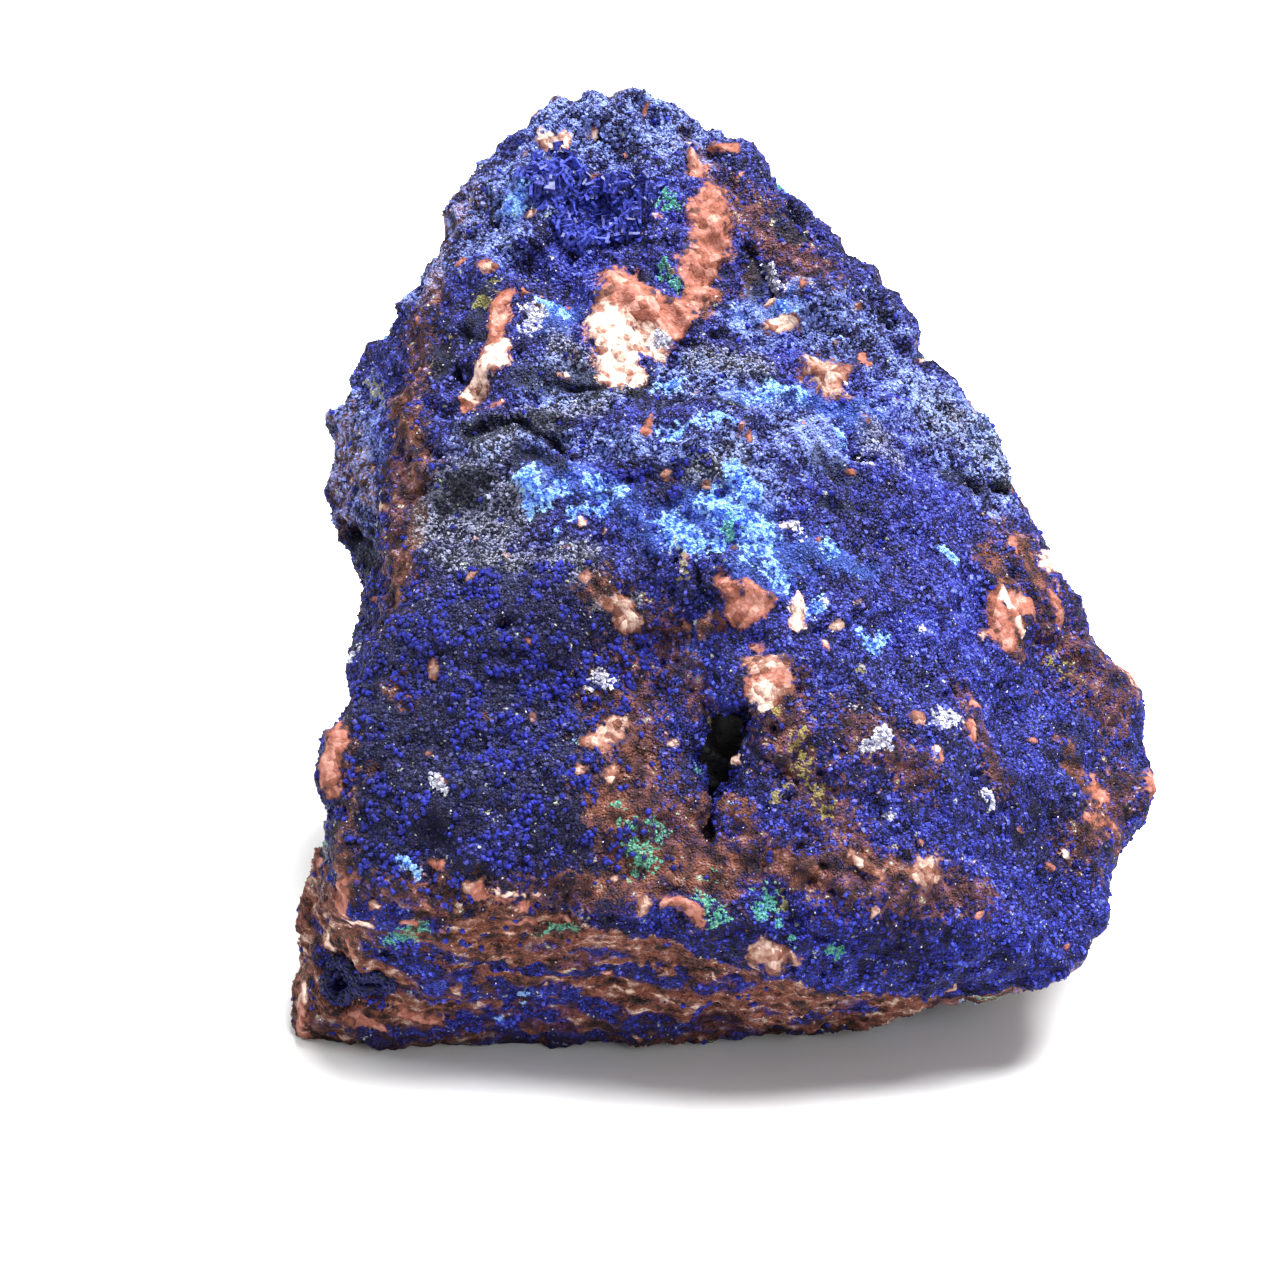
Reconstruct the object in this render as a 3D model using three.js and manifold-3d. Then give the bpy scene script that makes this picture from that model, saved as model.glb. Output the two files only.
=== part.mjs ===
// An azurite specimen: a broken block of iron-stained sandstone, coated all over with a granular
// crust of azurite, with quartz and feldspar fragments set in it and three hollows lined with
// azurite crystals. It stands on its broken base, 153 wide, 132 deep and 141 high. Millimetres,
// +Z up, +Y away from the viewer, origin on the base under the middle of the block.
import * as THREE from "three";
import { ConvexHull } from "three/addons/math/ConvexHull.js";
import { ImprovedNoise } from "three/addons/math/ImprovedNoise.js";
import { TessellateModifier } from "three/addons/modifiers/TessellateModifier.js";
import { mergeVertices } from "three/addons/utils/BufferGeometryUtils.js";
import Module from "manifold-3d";

const wasm = await Module();
wasm.setup();

// The reference view that the block's corners are read in: how steeply it looks down, how far its
// eye is from the nearest face, how large it sees that face, and the point that it is aimed at.
const VIEW_ELEVATION = THREE.MathUtils.degToRad(26);
const VIEW_REACH = 450;
const PIXELS_PER_MM = 6.3;
const VIEW_MIDDLE_PIXEL = 640;
const VIEW_AIM = new THREE.Vector3(-15.5, -46.5, 76);

// The block: a point well inside it, how fine its faces are and how rough its break is.
const MIDDLE = new THREE.Vector3(0, 5, 60);
const LONGEST_EDGE = 8.1;
const CUTTING_ROUNDS = 12;
const CREASE_SOFTENING = 0.35;
const FACE_ROUGHNESS = [
  { wavelength: 30, height: 2.4 },
  { wavelength: 13, height: 1.8 },
];
const KNOB_SPACING = 11;
const KNOB_HEIGHT = 1.6;
const KNOB_SCATTER = 1.7;
const KNOB_CORE = 0.15;
const KNOB_RIM = 0.75;
const KNOB_LEVEL = 0.4;
const NOISE_START = new THREE.Vector3(11.3, 5.1, 7.7);
const OUTLINE_TURN = 0.12;
const RESTING_HEIGHT = 1.2;

// The bedding that shows as thin ledges along the lower edge.
const BED_THICKNESS = 5.2;
const BED_RELIEF = 1;
const BED_WAVE = 3;
const BED_WAVE_LENGTH = 40;
const BED_DIP = 0.06;
const BED_TOP = 44;

// The hollows and the crystals that line them.
const BALL_DETAIL = 2;
const BALL_LUMPS = 0.22;
const BALL_LUMP_SIZE = 0.6;
const PINHOLE_DEPTH = 6;
const LINING_GAP = 0.6;
const LINING_THICKNESS = 1.2;
const SMALLEST_RADIUS = 0.8;
const LARGE_RADIUS = 4;
const CRYSTAL = { length: 2.4, width: 1, thickness: 0.6 };
const CRYSTAL_VARIETY = 0.35;

const ROCK_FINISH = { color: 0x2a2f8f, roughness: 0.85, metalness: 0 };
const BLADE_FINISH = { color: 0x2b3cc4, roughness: 0.4, metalness: 0 };
const VELVET_FINISH = { color: 0x14164f, roughness: 0.7, metalness: 0 };
const VUG_FINISH = { color: 0x14110f, roughness: 0.5, metalness: 0 };

const noise = new ImprovedNoise();
const AWAY = new THREE.Vector3(0, Math.cos(VIEW_ELEVATION), -Math.sin(VIEW_ELEVATION));
const UPWARD = new THREE.Vector3(0, Math.sin(VIEW_ELEVATION), Math.cos(VIEW_ELEVATION));
const SIDEWAYS = new THREE.Vector3(1, 0, 0);
const EYE = VIEW_AIM.clone().addScaledVector(AWAY, -VIEW_REACH);

// The point that shows at a column and row of the view, depth millimetres behind the nearest face.
function seen(column, row, depth) {
  const spread = (VIEW_REACH + depth) / (VIEW_REACH * PIXELS_PER_MM);
  return VIEW_AIM.clone()
    .addScaledVector(SIDEWAYS, (column - VIEW_MIDDLE_PIXEL) * spread)
    .addScaledVector(UPWARD, (VIEW_MIDDLE_PIXEL - row) * spread)
    .addScaledVector(AWAY, depth);
}

// The block's corners on the side that shows, each as column, row and depth.
const SEEN_CORNERS = {
  summit: [[600, 81, 57], [640, 80, 57], [620, 120, 54], [560, 135, 54], [678, 135, 53]],
  rightSkyline: [
    [664, 88, 57], [679, 105, 56], [702, 128, 56], [742, 145, 55], [752, 163, 55],
    [769, 190, 54], [800, 205, 54], [840, 226, 53], [851, 250, 52], [870, 272, 52],
    [893, 305, 51], [904, 320, 51], [922, 366, 50], [950, 379, 50], [968, 402, 49],
    [995, 426, 48], [1020, 487, 47], [1034, 506, 46], [1050, 545, 45], [1054, 580, 45],
    [1075, 605, 44], [1088, 640, 43], [1115, 660, 43], [1152, 705, 42], [1160, 735, 41],
    [1173, 766, 40], [1165, 795, 37], [1130, 842, 30], [1127, 868, 28], [1110, 922, 22],
    [1080, 968, 17], [1070, 990, 15],
  ],
  leftSkyline: [
    [584, 91, 57], [545, 98, 57], [521, 113, 57], [505, 136, 57], [476, 163, 57],
    [451, 200, 57], [440, 213, 57], [425, 237, 57], [407, 263, 58], [415, 296, 57],
    [401, 306, 58], [388, 331, 59], [366, 357, 59], [351, 388, 60], [335, 406, 60],
    [326, 455, 60], [326, 495, 60], [338, 535, 58], [353, 558, 55], [368, 568, 52],
    [382, 572, 44], [361, 608, 40], [349, 650, 32], [357, 674, 28], [357, 692, 24],
    [339, 720, 20], [326, 744, 19], [319, 765, 20], [324, 787, 21], [332, 802, 21],
    [321, 855, 25], [317, 892, 28], [293, 922, 35], [299, 946, 35], [294, 978, 35],
    [288, 1012, 35],
  ],
  leftRidge: [
    [535, 175, 50], [498, 215, 48], [482, 275, 43], [452, 325, 40], [428, 370, 37],
    [418, 430, 32], [405, 490, 28], [397, 545, 25], [385, 610, 21], [372, 690, 15],
    [354, 720, 13], [346, 800, 11], [337, 865, 10], [335, 925, 11],
  ],
  leftFlank: [[388, 520, 38], [376, 440, 50], [372, 640, 30], [440, 260, 53], [478, 215, 53]],
  stepEdge: [[482, 292, 40], [528, 300, 41], [578, 328, 39], [606, 388, 34]],
  stepFace: [[455, 400, 34], [535, 405, 32], [600, 420, 29]],
  shelfEdge: [
    [455, 440, 26], [520, 450, 24], [565, 452, 23], [620, 432, 22], [680, 424, 21],
    [730, 438, 20], [746, 480, 19], [800, 500, 21], [870, 500, 25],
  ],
  upperFace: [
    [590, 225, 52], [545, 280, 46], [630, 280, 44], [700, 285, 43], [712, 205, 48],
    [640, 345, 39], [700, 350, 39], [780, 320, 42], [770, 250, 48], [830, 365, 40],
    [640, 395, 33], [740, 400, 31], [820, 430, 31], [850, 300, 47], [910, 400, 44],
    [930, 460, 40], [980, 480, 43],
  ],
  band: [[465, 510, 22], [560, 515, 19], [640, 500, 17], [700, 510, 16]],
  bandFoot: [
    [408, 580, 22], [450, 575, 18], [520, 580, 14], [600, 580, 13], [665, 565, 13],
    [725, 560, 12], [790, 590, 12], [850, 560, 16], [910, 560, 21], [965, 560, 30],
    [1010, 560, 38],
  ],
  lowerLeftFace: [
    [400, 650, 15], [450, 700, 10], [550, 690, 9], [450, 800, 5], [560, 800, 4],
    [395, 850, 6], [500, 870, 1], [610, 640, 12],
  ],
  valley: [[650, 640, 14], [668, 710, 13], [672, 800, 9], [700, 690, 13], [640, 860, 5]],
  lowerRightFace: [
    [780, 655, 10], [860, 650, 12], [940, 645, 19], [985, 650, 29], [760, 705, 7],
    [830, 730, 6], [905, 745, 8], [965, 760, 14], [765, 800, 4], [840, 825, 3],
    [920, 845, 5], [1000, 850, 12], [810, 900, 1], [900, 915, 2], [985, 925, 7],
    [1045, 950, 12],
  ],
  rightFlank: [
    [1030, 640, 38], [1020, 710, 32], [1085, 720, 37], [1055, 785, 27], [1115, 800, 32],
    [1085, 870, 22],
  ],
  lip: [
    [345, 885, 8], [420, 893, 5], [500, 903, 2], [580, 908, 2], [660, 905, 2],
    [735, 935, 1], [785, 968, 4], [860, 962, 4], [930, 968, 8], [1000, 982, 12],
  ],
  bevel: [
    [352, 950, 15], [450, 942, 8], [560, 942, 8], [655, 945, 8], [740, 985, 10],
    [840, 985, 10], [430, 1000, 21], [560, 1000, 20], [700, 1008, 19], [820, 1010, 18],
    [310, 1010, 30],
  ],
  baseFront: [
    [284, 1045, 33], [360, 1050, 32], [440, 1050, 31], [600, 1047, 32], [760, 1032, 35],
    [860, 1026, 37], [897, 1015, 30], [925, 1004, 24], [1000, 998, 18], [1052, 997, 16],
  ],
};

// The corners on the sides that the view doesn't reach, as x, y and z from the middle of the base.
const HIDDEN_CORNERS = {
  backOfSummit: [[-20, 50, 137], [-27, 56, 121], [-6, 60, 117], [8, 55, 112], [-42, 48, 103]],
  rearWall: [
    [-30, 60, 92], [4, 63, 88], [26, 56, 90], [-50, 50, 70], [-12, 64, 60], [24, 60, 60],
    [46, 46, 68], [-44, 55, 34], [-8, 60, 28], [32, 58, 32], [55, 42, 40],
  ],
  rightEnd: [[54, 24, 60], [66, 10, 43], [68, 24, 26], [65, -8, 17], [57, -22, 11]],
  leftEnd: [[-68, 24, 66], [-62, 20, 40], [-66, 0, 26], [-60, 38, 20]],
  leftFold: [[-61, -25, 57], [-62, -28, 52], [-66, -36, 42], [-67.5, -37, 33], [-68, -36, 25]],
  rim: [
    [-71, -33, 0], [-69, -8, 0], [-62, 22, 0], [-46, 44, 0], [-12, 52, 0], [28, 50, 0],
    [50, 30, 0], [51, 2, 0], [38, -26, 0],
  ],
  floor: [[-30, 4, 0], [10, 12, 0]],
};

// The hollows, each where its middle shows as column and row. The middle of each ball lies behind
// the face by sunk millimetres, or in front of it where sunk is below zero.
const UPPER_HOLLOW = [{ pixel: [590, 212], radii: [8.4, 8, 7.6], sunk: -3.6 }];
const NOTCH = [
  { pixel: [338, 982], radii: [4.4, 6, 4.6], sunk: 0.5 },
  { pixel: [372, 984], radii: [4.6, 5, 2.6], sunk: 0 },
];
const VUG_MOUTH = [
  { pixel: [729, 735], radii: [4.6, 6, 4.8], sunk: 2 },
  { pixel: [715, 778], radii: [3.5, 6, 5.8], sunk: 2 },
  { pixel: [713, 812], radii: [1.7, 4, 4.8], sunk: 1 },
];
const VUG_CHAMBER = [{ pixel: [724, 752], radii: [6, 6.5, 7.5], sunk: 9 }];
const PINHOLES = [
  { pixel: [784, 774], radius: 1.1 },
  { pixel: [503, 626], radius: 0.9 },
];

// Lumps that stand out, mostly fragments of quartz and feldspar, and the grooves between them.
const SWELLINGS = [
  { pixel: [495, 350], radius: 6, height: 2 },
  { pixel: [488, 395], radius: 5, height: 2 },
  { pixel: [622, 320], radius: 8, height: 2.4 },
  { pixel: [618, 368], radius: 6, height: 2 },
  { pixel: [700, 225], radius: 8, height: 2.6 },
  { pixel: [690, 295], radius: 8, height: 2.4 },
  { pixel: [830, 372], radius: 7, height: 2.2 },
  { pixel: [740, 590], radius: 5, height: 1.6 },
  { pixel: [762, 688], radius: 6, height: 2.4 },
  { pixel: [1005, 605], radius: 9, height: 2.4 },
  { pixel: [332, 760], radius: 6, height: 1.8 },
  { pixel: [350, 500], radius: 9, height: 2 },
  { pixel: [305, 1015], radius: 6, height: 1.6 },
  { pixel: [770, 955], radius: 7, height: 1.6 },
  { pixel: [1150, 785], radius: 5, height: 1.6 },
];
const GROOVES = [
  { pixels: [[510, 430], [535, 452], [575, 464]], width: 2.6, depth: 2.6 },
  { pixels: [[690, 860], [706, 700], [690, 640]], width: 5, depth: 1.4 },
  { pixels: [[900, 460], [960, 490], [1020, 500]], width: 4, depth: 2.2 },
  { pixels: [[735, 250], [748, 290], [730, 335]], width: 4, depth: 2 },
  { pixels: [[520, 195], [500, 240], [505, 280]], width: 3, depth: 1.6 },
];

// Smooth noise at a point, from about -1 to 1, whose bumps are about one wavelength apart.
function roughness(point, wavelength) {
  const p = point.clone().divideScalar(wavelength);
  return noise.noise(p.x + NOISE_START.x, p.y + NOISE_START.y, p.z + NOISE_START.z);
}

// Rounded knobs on a jittered grid: 1 in the middle of a knob and 0 between knobs.
function knobs(point, spacing) {
  const cell = point.clone().divideScalar(spacing);
  const home = cell.clone().floor();
  let nearest = 1;
  for (let i = -1; i <= 1; i++)
    for (let j = -1; j <= 1; j++)
      for (let k = -1; k <= 1; k++) {
        const middle = home.clone().add(new THREE.Vector3(i + 0.5, j + 0.5, k + 0.5));
        const [x, y, z] = middle.toArray().map((value) => value * KNOB_SCATTER);
        middle.x += noise.noise(x, y, z);
        middle.y += noise.noise(y, z, x);
        middle.z += noise.noise(z, x, y);
        nearest = Math.min(nearest, middle.distanceTo(cell));
      }
  return 1 - THREE.MathUtils.smoothstep(nearest, KNOB_CORE, KNOB_RIM);
}

// The beds: level steps low on the block, from -1 to 1, which fade out upwards.
function beds(point) {
  const level = point.z + BED_WAVE * roughness(point, BED_WAVE_LENGTH) + BED_DIP * point.x;
  const fade = 1 - THREE.MathUtils.smoothstep(point.z, BED_TOP / 2, BED_TOP);
  return fade * (2 * THREE.MathUtils.euclideanModulo(level / BED_THICKNESS, 1) - 1);
}

// 1 where the outward way is turned to the viewer or away, and 0 along the block's outline, whose
// shape is the corners' own.
function turned(outward, here) {
  const sight = here.clone().sub(EYE).normalize();
  return THREE.MathUtils.smoothstep(Math.abs(outward.dot(sight)), OUTLINE_TURN, 3 * OUTLINE_TURN);
}

function distanceToLine(point, line) {
  const nearest = new THREE.Vector3();
  let least = Infinity;
  for (let i = 0; i + 1 < line.length; i++) {
    new THREE.Line3(line[i], line[i + 1]).closestPointToPoint(point, true, nearest);
    least = Math.min(least, nearest.distanceTo(point));
  }
  return least;
}

// How far a point of the surface stands out from the plain faces between the corners.
function relief(point, outward, swellings, grooves) {
  let rough = KNOB_HEIGHT * (knobs(point, KNOB_SPACING) - KNOB_LEVEL) + BED_RELIEF * beds(point);
  for (const { wavelength, height } of FACE_ROUGHNESS) rough += height * roughness(point, wavelength);
  let out = rough * turned(outward, point);
  for (const { at, radius, height } of swellings) {
    const share = point.distanceTo(at) / radius;
    out += height * (1 - THREE.MathUtils.smoothstep(share, 0.55, 1.15));
  }
  for (const { line, width, depth } of grooves) {
    const share = distanceToLine(point, line) / width;
    out -= depth * (1 - THREE.MathUtils.smoothstep(share, 0.2, 1));
  }
  return out;
}

// A closed geometry whose faces join the corners, each seen from the middle of the block.
function cage(corners, middle) {
  const cornerOf = new Map();
  for (const corner of corners) cornerOf.set(corner.clone().sub(middle).normalize(), corner);
  const positions = [];
  for (const face of new ConvexHull().setFromPoints([...cornerOf.keys()]).faces) {
    let edge = face.edge;
    do {
      positions.push(...cornerOf.get(edge.head().point).toArray());
      edge = edge.next;
    } while (edge !== face.edge);
  }
  const position = new THREE.Float32BufferAttribute(positions, 3);
  return new THREE.BufferGeometry().setAttribute("position", position);
}

// The geometry with positions alone, and with its shared vertices merged.
function merged(geometry) {
  const plain = new THREE.BufferGeometry().setAttribute("position", geometry.attributes.position);
  if (geometry.index) plain.setIndex(geometry.index);
  return mergeVertices(plain, 1e-3);
}

// Moves every vertex to where the rule puts it, given its place and its outward way.
function reshape(geometry, rule) {
  geometry.computeVertexNormals();
  const { position, normal } = geometry.attributes;
  for (let i = 0; i < position.count; i++) {
    const here = new THREE.Vector3().fromBufferAttribute(position, i);
    const outward = new THREE.Vector3().fromBufferAttribute(normal, i);
    const moved = rule(here, outward, i);
    position.setXYZ(i, moved.x, moved.y, moved.z);
  }
  geometry.deleteAttribute("normal");
}

// The middle of each vertex's neighbours.
function neighbourMiddles(geometry) {
  const position = geometry.attributes.position;
  const index = geometry.index.array;
  const sums = Array.from({ length: position.count }, () => new THREE.Vector3());
  const counts = new Array(position.count).fill(0);
  for (let i = 0; i < index.length; i++) {
    const next = index[i % 3 === 2 ? i - 2 : i + 1];
    sums[index[i]].add(new THREE.Vector3().fromBufferAttribute(position, next));
    counts[index[i]] += 1;
  }
  return sums.map((sum, i) => sum.divideScalar(counts[i]));
}

// The block's plain form: flat faces between the corners, cut into small ones, creases rounded.
function plainForm() {
  const seenCorners = Object.values(SEEN_CORNERS).flat();
  const hiddenCorners = Object.values(HIDDEN_CORNERS).flat();
  const corners = seenCorners
    .map((corner) => seen(...corner))
    .concat(hiddenCorners.map((corner) => new THREE.Vector3(...corner)));
  const cutSmall = new TessellateModifier(LONGEST_EDGE, CUTTING_ROUNDS);
  const geometry = merged(cutSmall.modify(cage(corners, MIDDLE)));
  const middles = neighbourMiddles(geometry);
  reshape(geometry, (here, outward, i) => {
    return here.lerp(middles[i], CREASE_SOFTENING * turned(outward, here));
  });
  return geometry;
}

// Where the line of sight through a column and row meets the form.
function onForm(form, [column, row]) {
  const sight = seen(column, row, 0).sub(EYE).normalize();
  const hit = new THREE.Raycaster(EYE, sight).intersectObject(new THREE.Mesh(form))[0];
  return hit.point;
}

function solid(geometry) {
  const closed = merged(geometry);
  const vertProperties = closed.attributes.position.array;
  const triVerts = new Uint32Array(closed.index.array);
  return new wasm.Manifold(new wasm.Mesh({ numProp: 3, vertProperties, triVerts }));
}

function geometryOf(manifold) {
  const { vertProperties, triVerts } = manifold.getMesh();
  return new THREE.BufferGeometry()
    .setAttribute("position", new THREE.BufferAttribute(vertProperties.slice(), 3))
    .setIndex(new THREE.BufferAttribute(triVerts.slice(), 1));
}

// A lumpy ball about a point, its radii given sideways, away and upward, less an inset all round.
function ball(at, radii, inset) {
  const geometry = merged(new THREE.IcosahedronGeometry(1, BALL_DETAIL));
  reshape(geometry, (way) => {
    const lumps = roughness(way.clone().add(at), BALL_LUMP_SIZE);
    const swell = 1 + BALL_LUMPS * lumps;
    return at
      .clone()
      .addScaledVector(SIDEWAYS, way.x * swell * (radii[0] - inset))
      .addScaledVector(AWAY, way.y * swell * (radii[1] - inset))
      .addScaledVector(UPWARD, way.z * swell * (radii[2] - inset));
  });
  return solid(geometry);
}

const joined = (solids) => solids.reduce((all, one) => all.add(one));
const middleOf = (form, { pixel, sunk }) => onForm(form, pixel).addScaledVector(AWAY, sunk);

// The space of a hollow, drawn in by an inset. A ball too small for the inset is left out.
function space(form, balls, inset) {
  const roomy = balls.filter(({ radii }) => Math.min(...radii) > inset + SMALLEST_RADIUS);
  return joined(roomy.map((one) => ball(middleOf(form, one), one.radii, inset)));
}

function pinhole(form, { pixel, radius }) {
  const geometry = new THREE.CylinderGeometry(radius, radius * 0.7, 2 * PINHOLE_DEPTH, 7);
  const turn = new THREE.Quaternion().setFromUnitVectors(new THREE.Vector3(0, -1, 0), AWAY);
  const at = onForm(form, pixel);
  geometry.applyQuaternion(turn).translate(at.x, at.y, at.z);
  return solid(geometry);
}

// The way of the nth of count points that are spread evenly over the far half of a ball.
function farWay(n, count) {
  const across = (n + 0.5) / count;
  const turn = n * Math.PI * (3 - Math.sqrt(5));
  const radius = Math.sqrt(1 - across * across);
  return new THREE.Vector3()
    .addScaledVector(SIDEWAYS, radius * Math.cos(turn))
    .addScaledVector(UPWARD, radius * Math.sin(turn))
    .addScaledVector(AWAY, across);
}

// A pointed crystal with flat faces, rooted at a point of a hollow's wall and facing its middle.
function crystal(at, inward, n) {
  const { length, width, thickness } = CRYSTAL;
  const size = 1 + CRYSTAL_VARIETY * Math.sin(n * 2.4);
  const geometry = new THREE.OctahedronGeometry(1).scale(width * size, length * size, thickness * size);
  geometry.rotateY(n * 1.9);
  const tilt = new THREE.Vector3(Math.sin(n * 1.3), Math.sin(n * 2.9), Math.cos(n * 1.7));
  const way = inward.clone().addScaledVector(tilt, CRYSTAL_VARIETY).normalize();
  const turn = new THREE.Quaternion().setFromUnitVectors(new THREE.Vector3(0, 1, 0), way);
  geometry.applyQuaternion(turn).translate(at.x, at.y, at.z);
  return solid(geometry);
}

// A hollow's crust: a thin wall that follows the hollow, grown over with crystals that point in.
function crust(form, block, balls, crystalCount) {
  const outer = space(form, balls, LINING_GAP).intersect(block);
  const wall = outer.subtract(space(form, balls, LINING_GAP + LINING_THICKNESS));
  const crystals = [];
  for (const one of balls.filter(({ radii }) => Math.min(...radii) > LARGE_RADIUS)) {
    const middle = middleOf(form, one);
    const reach = one.radii.map((radius) => radius - LINING_GAP - LINING_THICKNESS / 2);
    for (let n = 0; n < crystalCount; n++) {
      const way = farWay(n, crystalCount);
      const root = middle
        .clone()
        .addScaledVector(SIDEWAYS, reach[0] * way.dot(SIDEWAYS))
        .addScaledVector(AWAY, reach[1] * way.dot(AWAY))
        .addScaledVector(UPWARD, reach[2] * way.dot(UPWARD));
      crystals.push(crystal(root, way.negate(), n));
    }
  }
  const grown = joined([wall, ...crystals.map((one) => one.intersect(outer))]);
  return largest(grown);
}

function largest(manifold) {
  return manifold.decompose().reduce((most, one) => (one.volume() > most.volume() ? one : most));
}

// The block before its hollows: the plain form, roughened and stood on its flat base.
function wholeBlock(form) {
  const swellings = SWELLINGS.map(({ pixel, ...size }) => ({ at: onForm(form, pixel), ...size }));
  const grooves = GROOVES.map(({ pixels, ...size }) => {
    return { line: pixels.map((pixel) => onForm(form, pixel)), ...size };
  });
  const geometry = form.clone();
  reshape(geometry, (here, outward) => {
    here.addScaledVector(outward, relief(here, outward, swellings, grooves));
    return here.z < RESTING_HEIGHT ? here.setZ(0) : here;
  });
  return solid(geometry);
}

function mesh(name, manifold, finish) {
  const made = new THREE.Mesh(geometryOf(manifold), new THREE.MeshStandardMaterial(finish));
  made.name = name;
  return made;
}

const form = plainForm();
const block = wholeBlock(form);
const mouth = space(form, VUG_MOUTH, 0);
const hollows = [UPPER_HOLLOW, NOTCH, VUG_CHAMBER].map((balls) => space(form, balls, 0));
const pinholes = PINHOLES.map((one) => pinhole(form, one));

const specimen = new THREE.Group();
specimen.add(
  mesh("rock", block.subtract(joined([mouth, ...hollows, ...pinholes])), ROCK_FINISH),
  mesh("upper_hollow_crystals", crust(form, block, UPPER_HOLLOW, 16), BLADE_FINISH),
  mesh("notch_crystals", crust(form, block, NOTCH, 6), VELVET_FINISH),
  mesh("vug_crystals", largest(crust(form, block, VUG_CHAMBER, 8).subtract(mouth)), VUG_FINISH),
);
export default specimen;
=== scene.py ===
"""An azurite specimen: a broken block of iron-stained sandstone under a granular crust of azurite,
with fragments of quartz and feldspar, malachite, and three hollows lined with crystals."""

import math

import bmesh
import bpy
import numpy as np
from mathutils import Euler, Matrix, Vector
from mathutils.bvhtree import BVHTree


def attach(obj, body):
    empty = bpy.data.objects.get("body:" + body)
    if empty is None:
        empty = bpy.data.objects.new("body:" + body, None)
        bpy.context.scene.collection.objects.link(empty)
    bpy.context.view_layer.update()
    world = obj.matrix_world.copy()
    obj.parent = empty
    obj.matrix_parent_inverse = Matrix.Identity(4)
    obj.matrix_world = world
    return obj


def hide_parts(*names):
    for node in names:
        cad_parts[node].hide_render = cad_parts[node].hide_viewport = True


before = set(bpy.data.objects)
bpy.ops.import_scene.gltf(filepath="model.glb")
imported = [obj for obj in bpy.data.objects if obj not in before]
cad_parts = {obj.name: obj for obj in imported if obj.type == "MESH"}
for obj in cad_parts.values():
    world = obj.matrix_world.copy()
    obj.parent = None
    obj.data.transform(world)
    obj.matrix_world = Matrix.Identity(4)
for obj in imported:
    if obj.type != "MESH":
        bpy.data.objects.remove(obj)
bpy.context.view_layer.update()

MM = 0.001

# The reference view: how steeply it looks down, its distance to the nearest face, how large it
# sees that face, the picture's side in pixels and the point that it is aimed at.
VIEW_ELEVATION = math.radians(26)
VIEW_REACH = 450 * MM
PIXELS_PER_MM = 6.3
PICTURE_SIDE = 1280
VIEW_AIM = Vector((-15.5, -46.5, 76)) * MM
AWAY = Vector((0, math.cos(VIEW_ELEVATION), -math.sin(VIEW_ELEVATION)))
UPWARD = Vector((0, math.sin(VIEW_ELEVATION), math.cos(VIEW_ELEVATION)))
SIDEWAYS = Vector((1, 0, 0))
EYE = VIEW_AIM - AWAY * VIEW_REACH

# A pixel of that view near the middle of the block.
BLOCK_MIDDLE = np.array((680, 600))

# The skin: its longest edges on the side that the view sees, elsewhere and underneath, in
# millimetres, and how it is rounded: each round cuts it to so many times its longest edges and
# takes so many steps.
FRONT_EDGE = 0.85
SIDE_EDGE = 1.5
BASE_EDGE = 3.0
ROUNDINGS = [(4, 2), (2, 3), (1, 3)]
ROUNDING_SHARE = 0.5

# How the points of the skin are pushed about before the strokes are measured: the wavelength and
# reach of each push in millimetres, and its seed.
PUSHES = [(8, 1.9, 201), (3, 1.0, 211), (1.3, 0.45, 221)]

# The relief's layers: the height and width of the forms in millimetres, the level that the noise
# is measured from, and the seed.
RIDGES = [(2.0, 13, 0.45, 51), (1.3, 6, 0.45, 52)]
CRAGS = [(2.6, 8, 0.4, 55), (2.0, 4, 0.4, 56)]
KNOBS = [(1.3, 3.8, 0.55, 2), (0.8, 2.1, 0.5, 5)]
FACETS = [(1.2, 6.5, 0.5, 15), (0.2, 2.4, 0.5, 5)]

# The heights between which the crags grow to their full size.
CRAGS_FROM, CRAGS_FULL = 50, 100
GRIT_HEIGHT = 0.6
PIT_DEPTH = 1.5
SEAM_SHAPE = (0.25, 0.25, 0.8)
STREAK_SHAPE = (0.25, 0.25, 1)
BED_THICKNESS = 1.9
BED_DIP = 0.07
BED_RELIEF = 0.6
RIB_HEIGHT = 1.3
CREVICE_DEPTH = 2.0
PINHOLE_DEPTH = 2.2
FRAGMENT_HEIGHT = 0.3
FILM_THICKNESS = 0.3

# How high the bedding reaches on the front, in millimetres: places across and the height there.
BEDDING_TOP = [(-60, 35), (-10, 33), (15, 22), (50, 10)]

# Where each mineral shows, and where sheen and shade are painted: strokes along points of the reference
# view, each ending with its half width in millimetres. A stroke lies on the rock, wherever its points
# meet it.
CREAM = [
    ((608, 322), (612, 350), (617, 378), 3.9),
    ((636, 338), (652, 346), 3.2),
    ((625, 376), (636, 380), 2.2),
    ((498, 348), (488, 376), 2.3),
    ((476, 392), (490, 398), 1.2),
    ((545, 145), (560, 146), 2),
    ((790, 598), (792, 620), 1.7),
    ((781, 535), (790, 548), 1.3),
    ((355, 925), (372, 921), 1.3),
    ((334, 950), (338, 953), 1),
    ((752, 702), (770, 700), 1.7),
    ((1000, 598), (1018, 632), 1.2),
    ((1048, 556), (1050, 570), 1.3),
    ((672, 742), 1.3),
    ((760, 958), (772, 962), 1.5),
    ((498, 890), (515, 893), 1.4),
    ((305, 998), (300, 985), 1.2),
    ((965, 868), 1.1),
    ((930, 752), 1),
    ((583, 982), (590, 985), 1.3),
]
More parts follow.
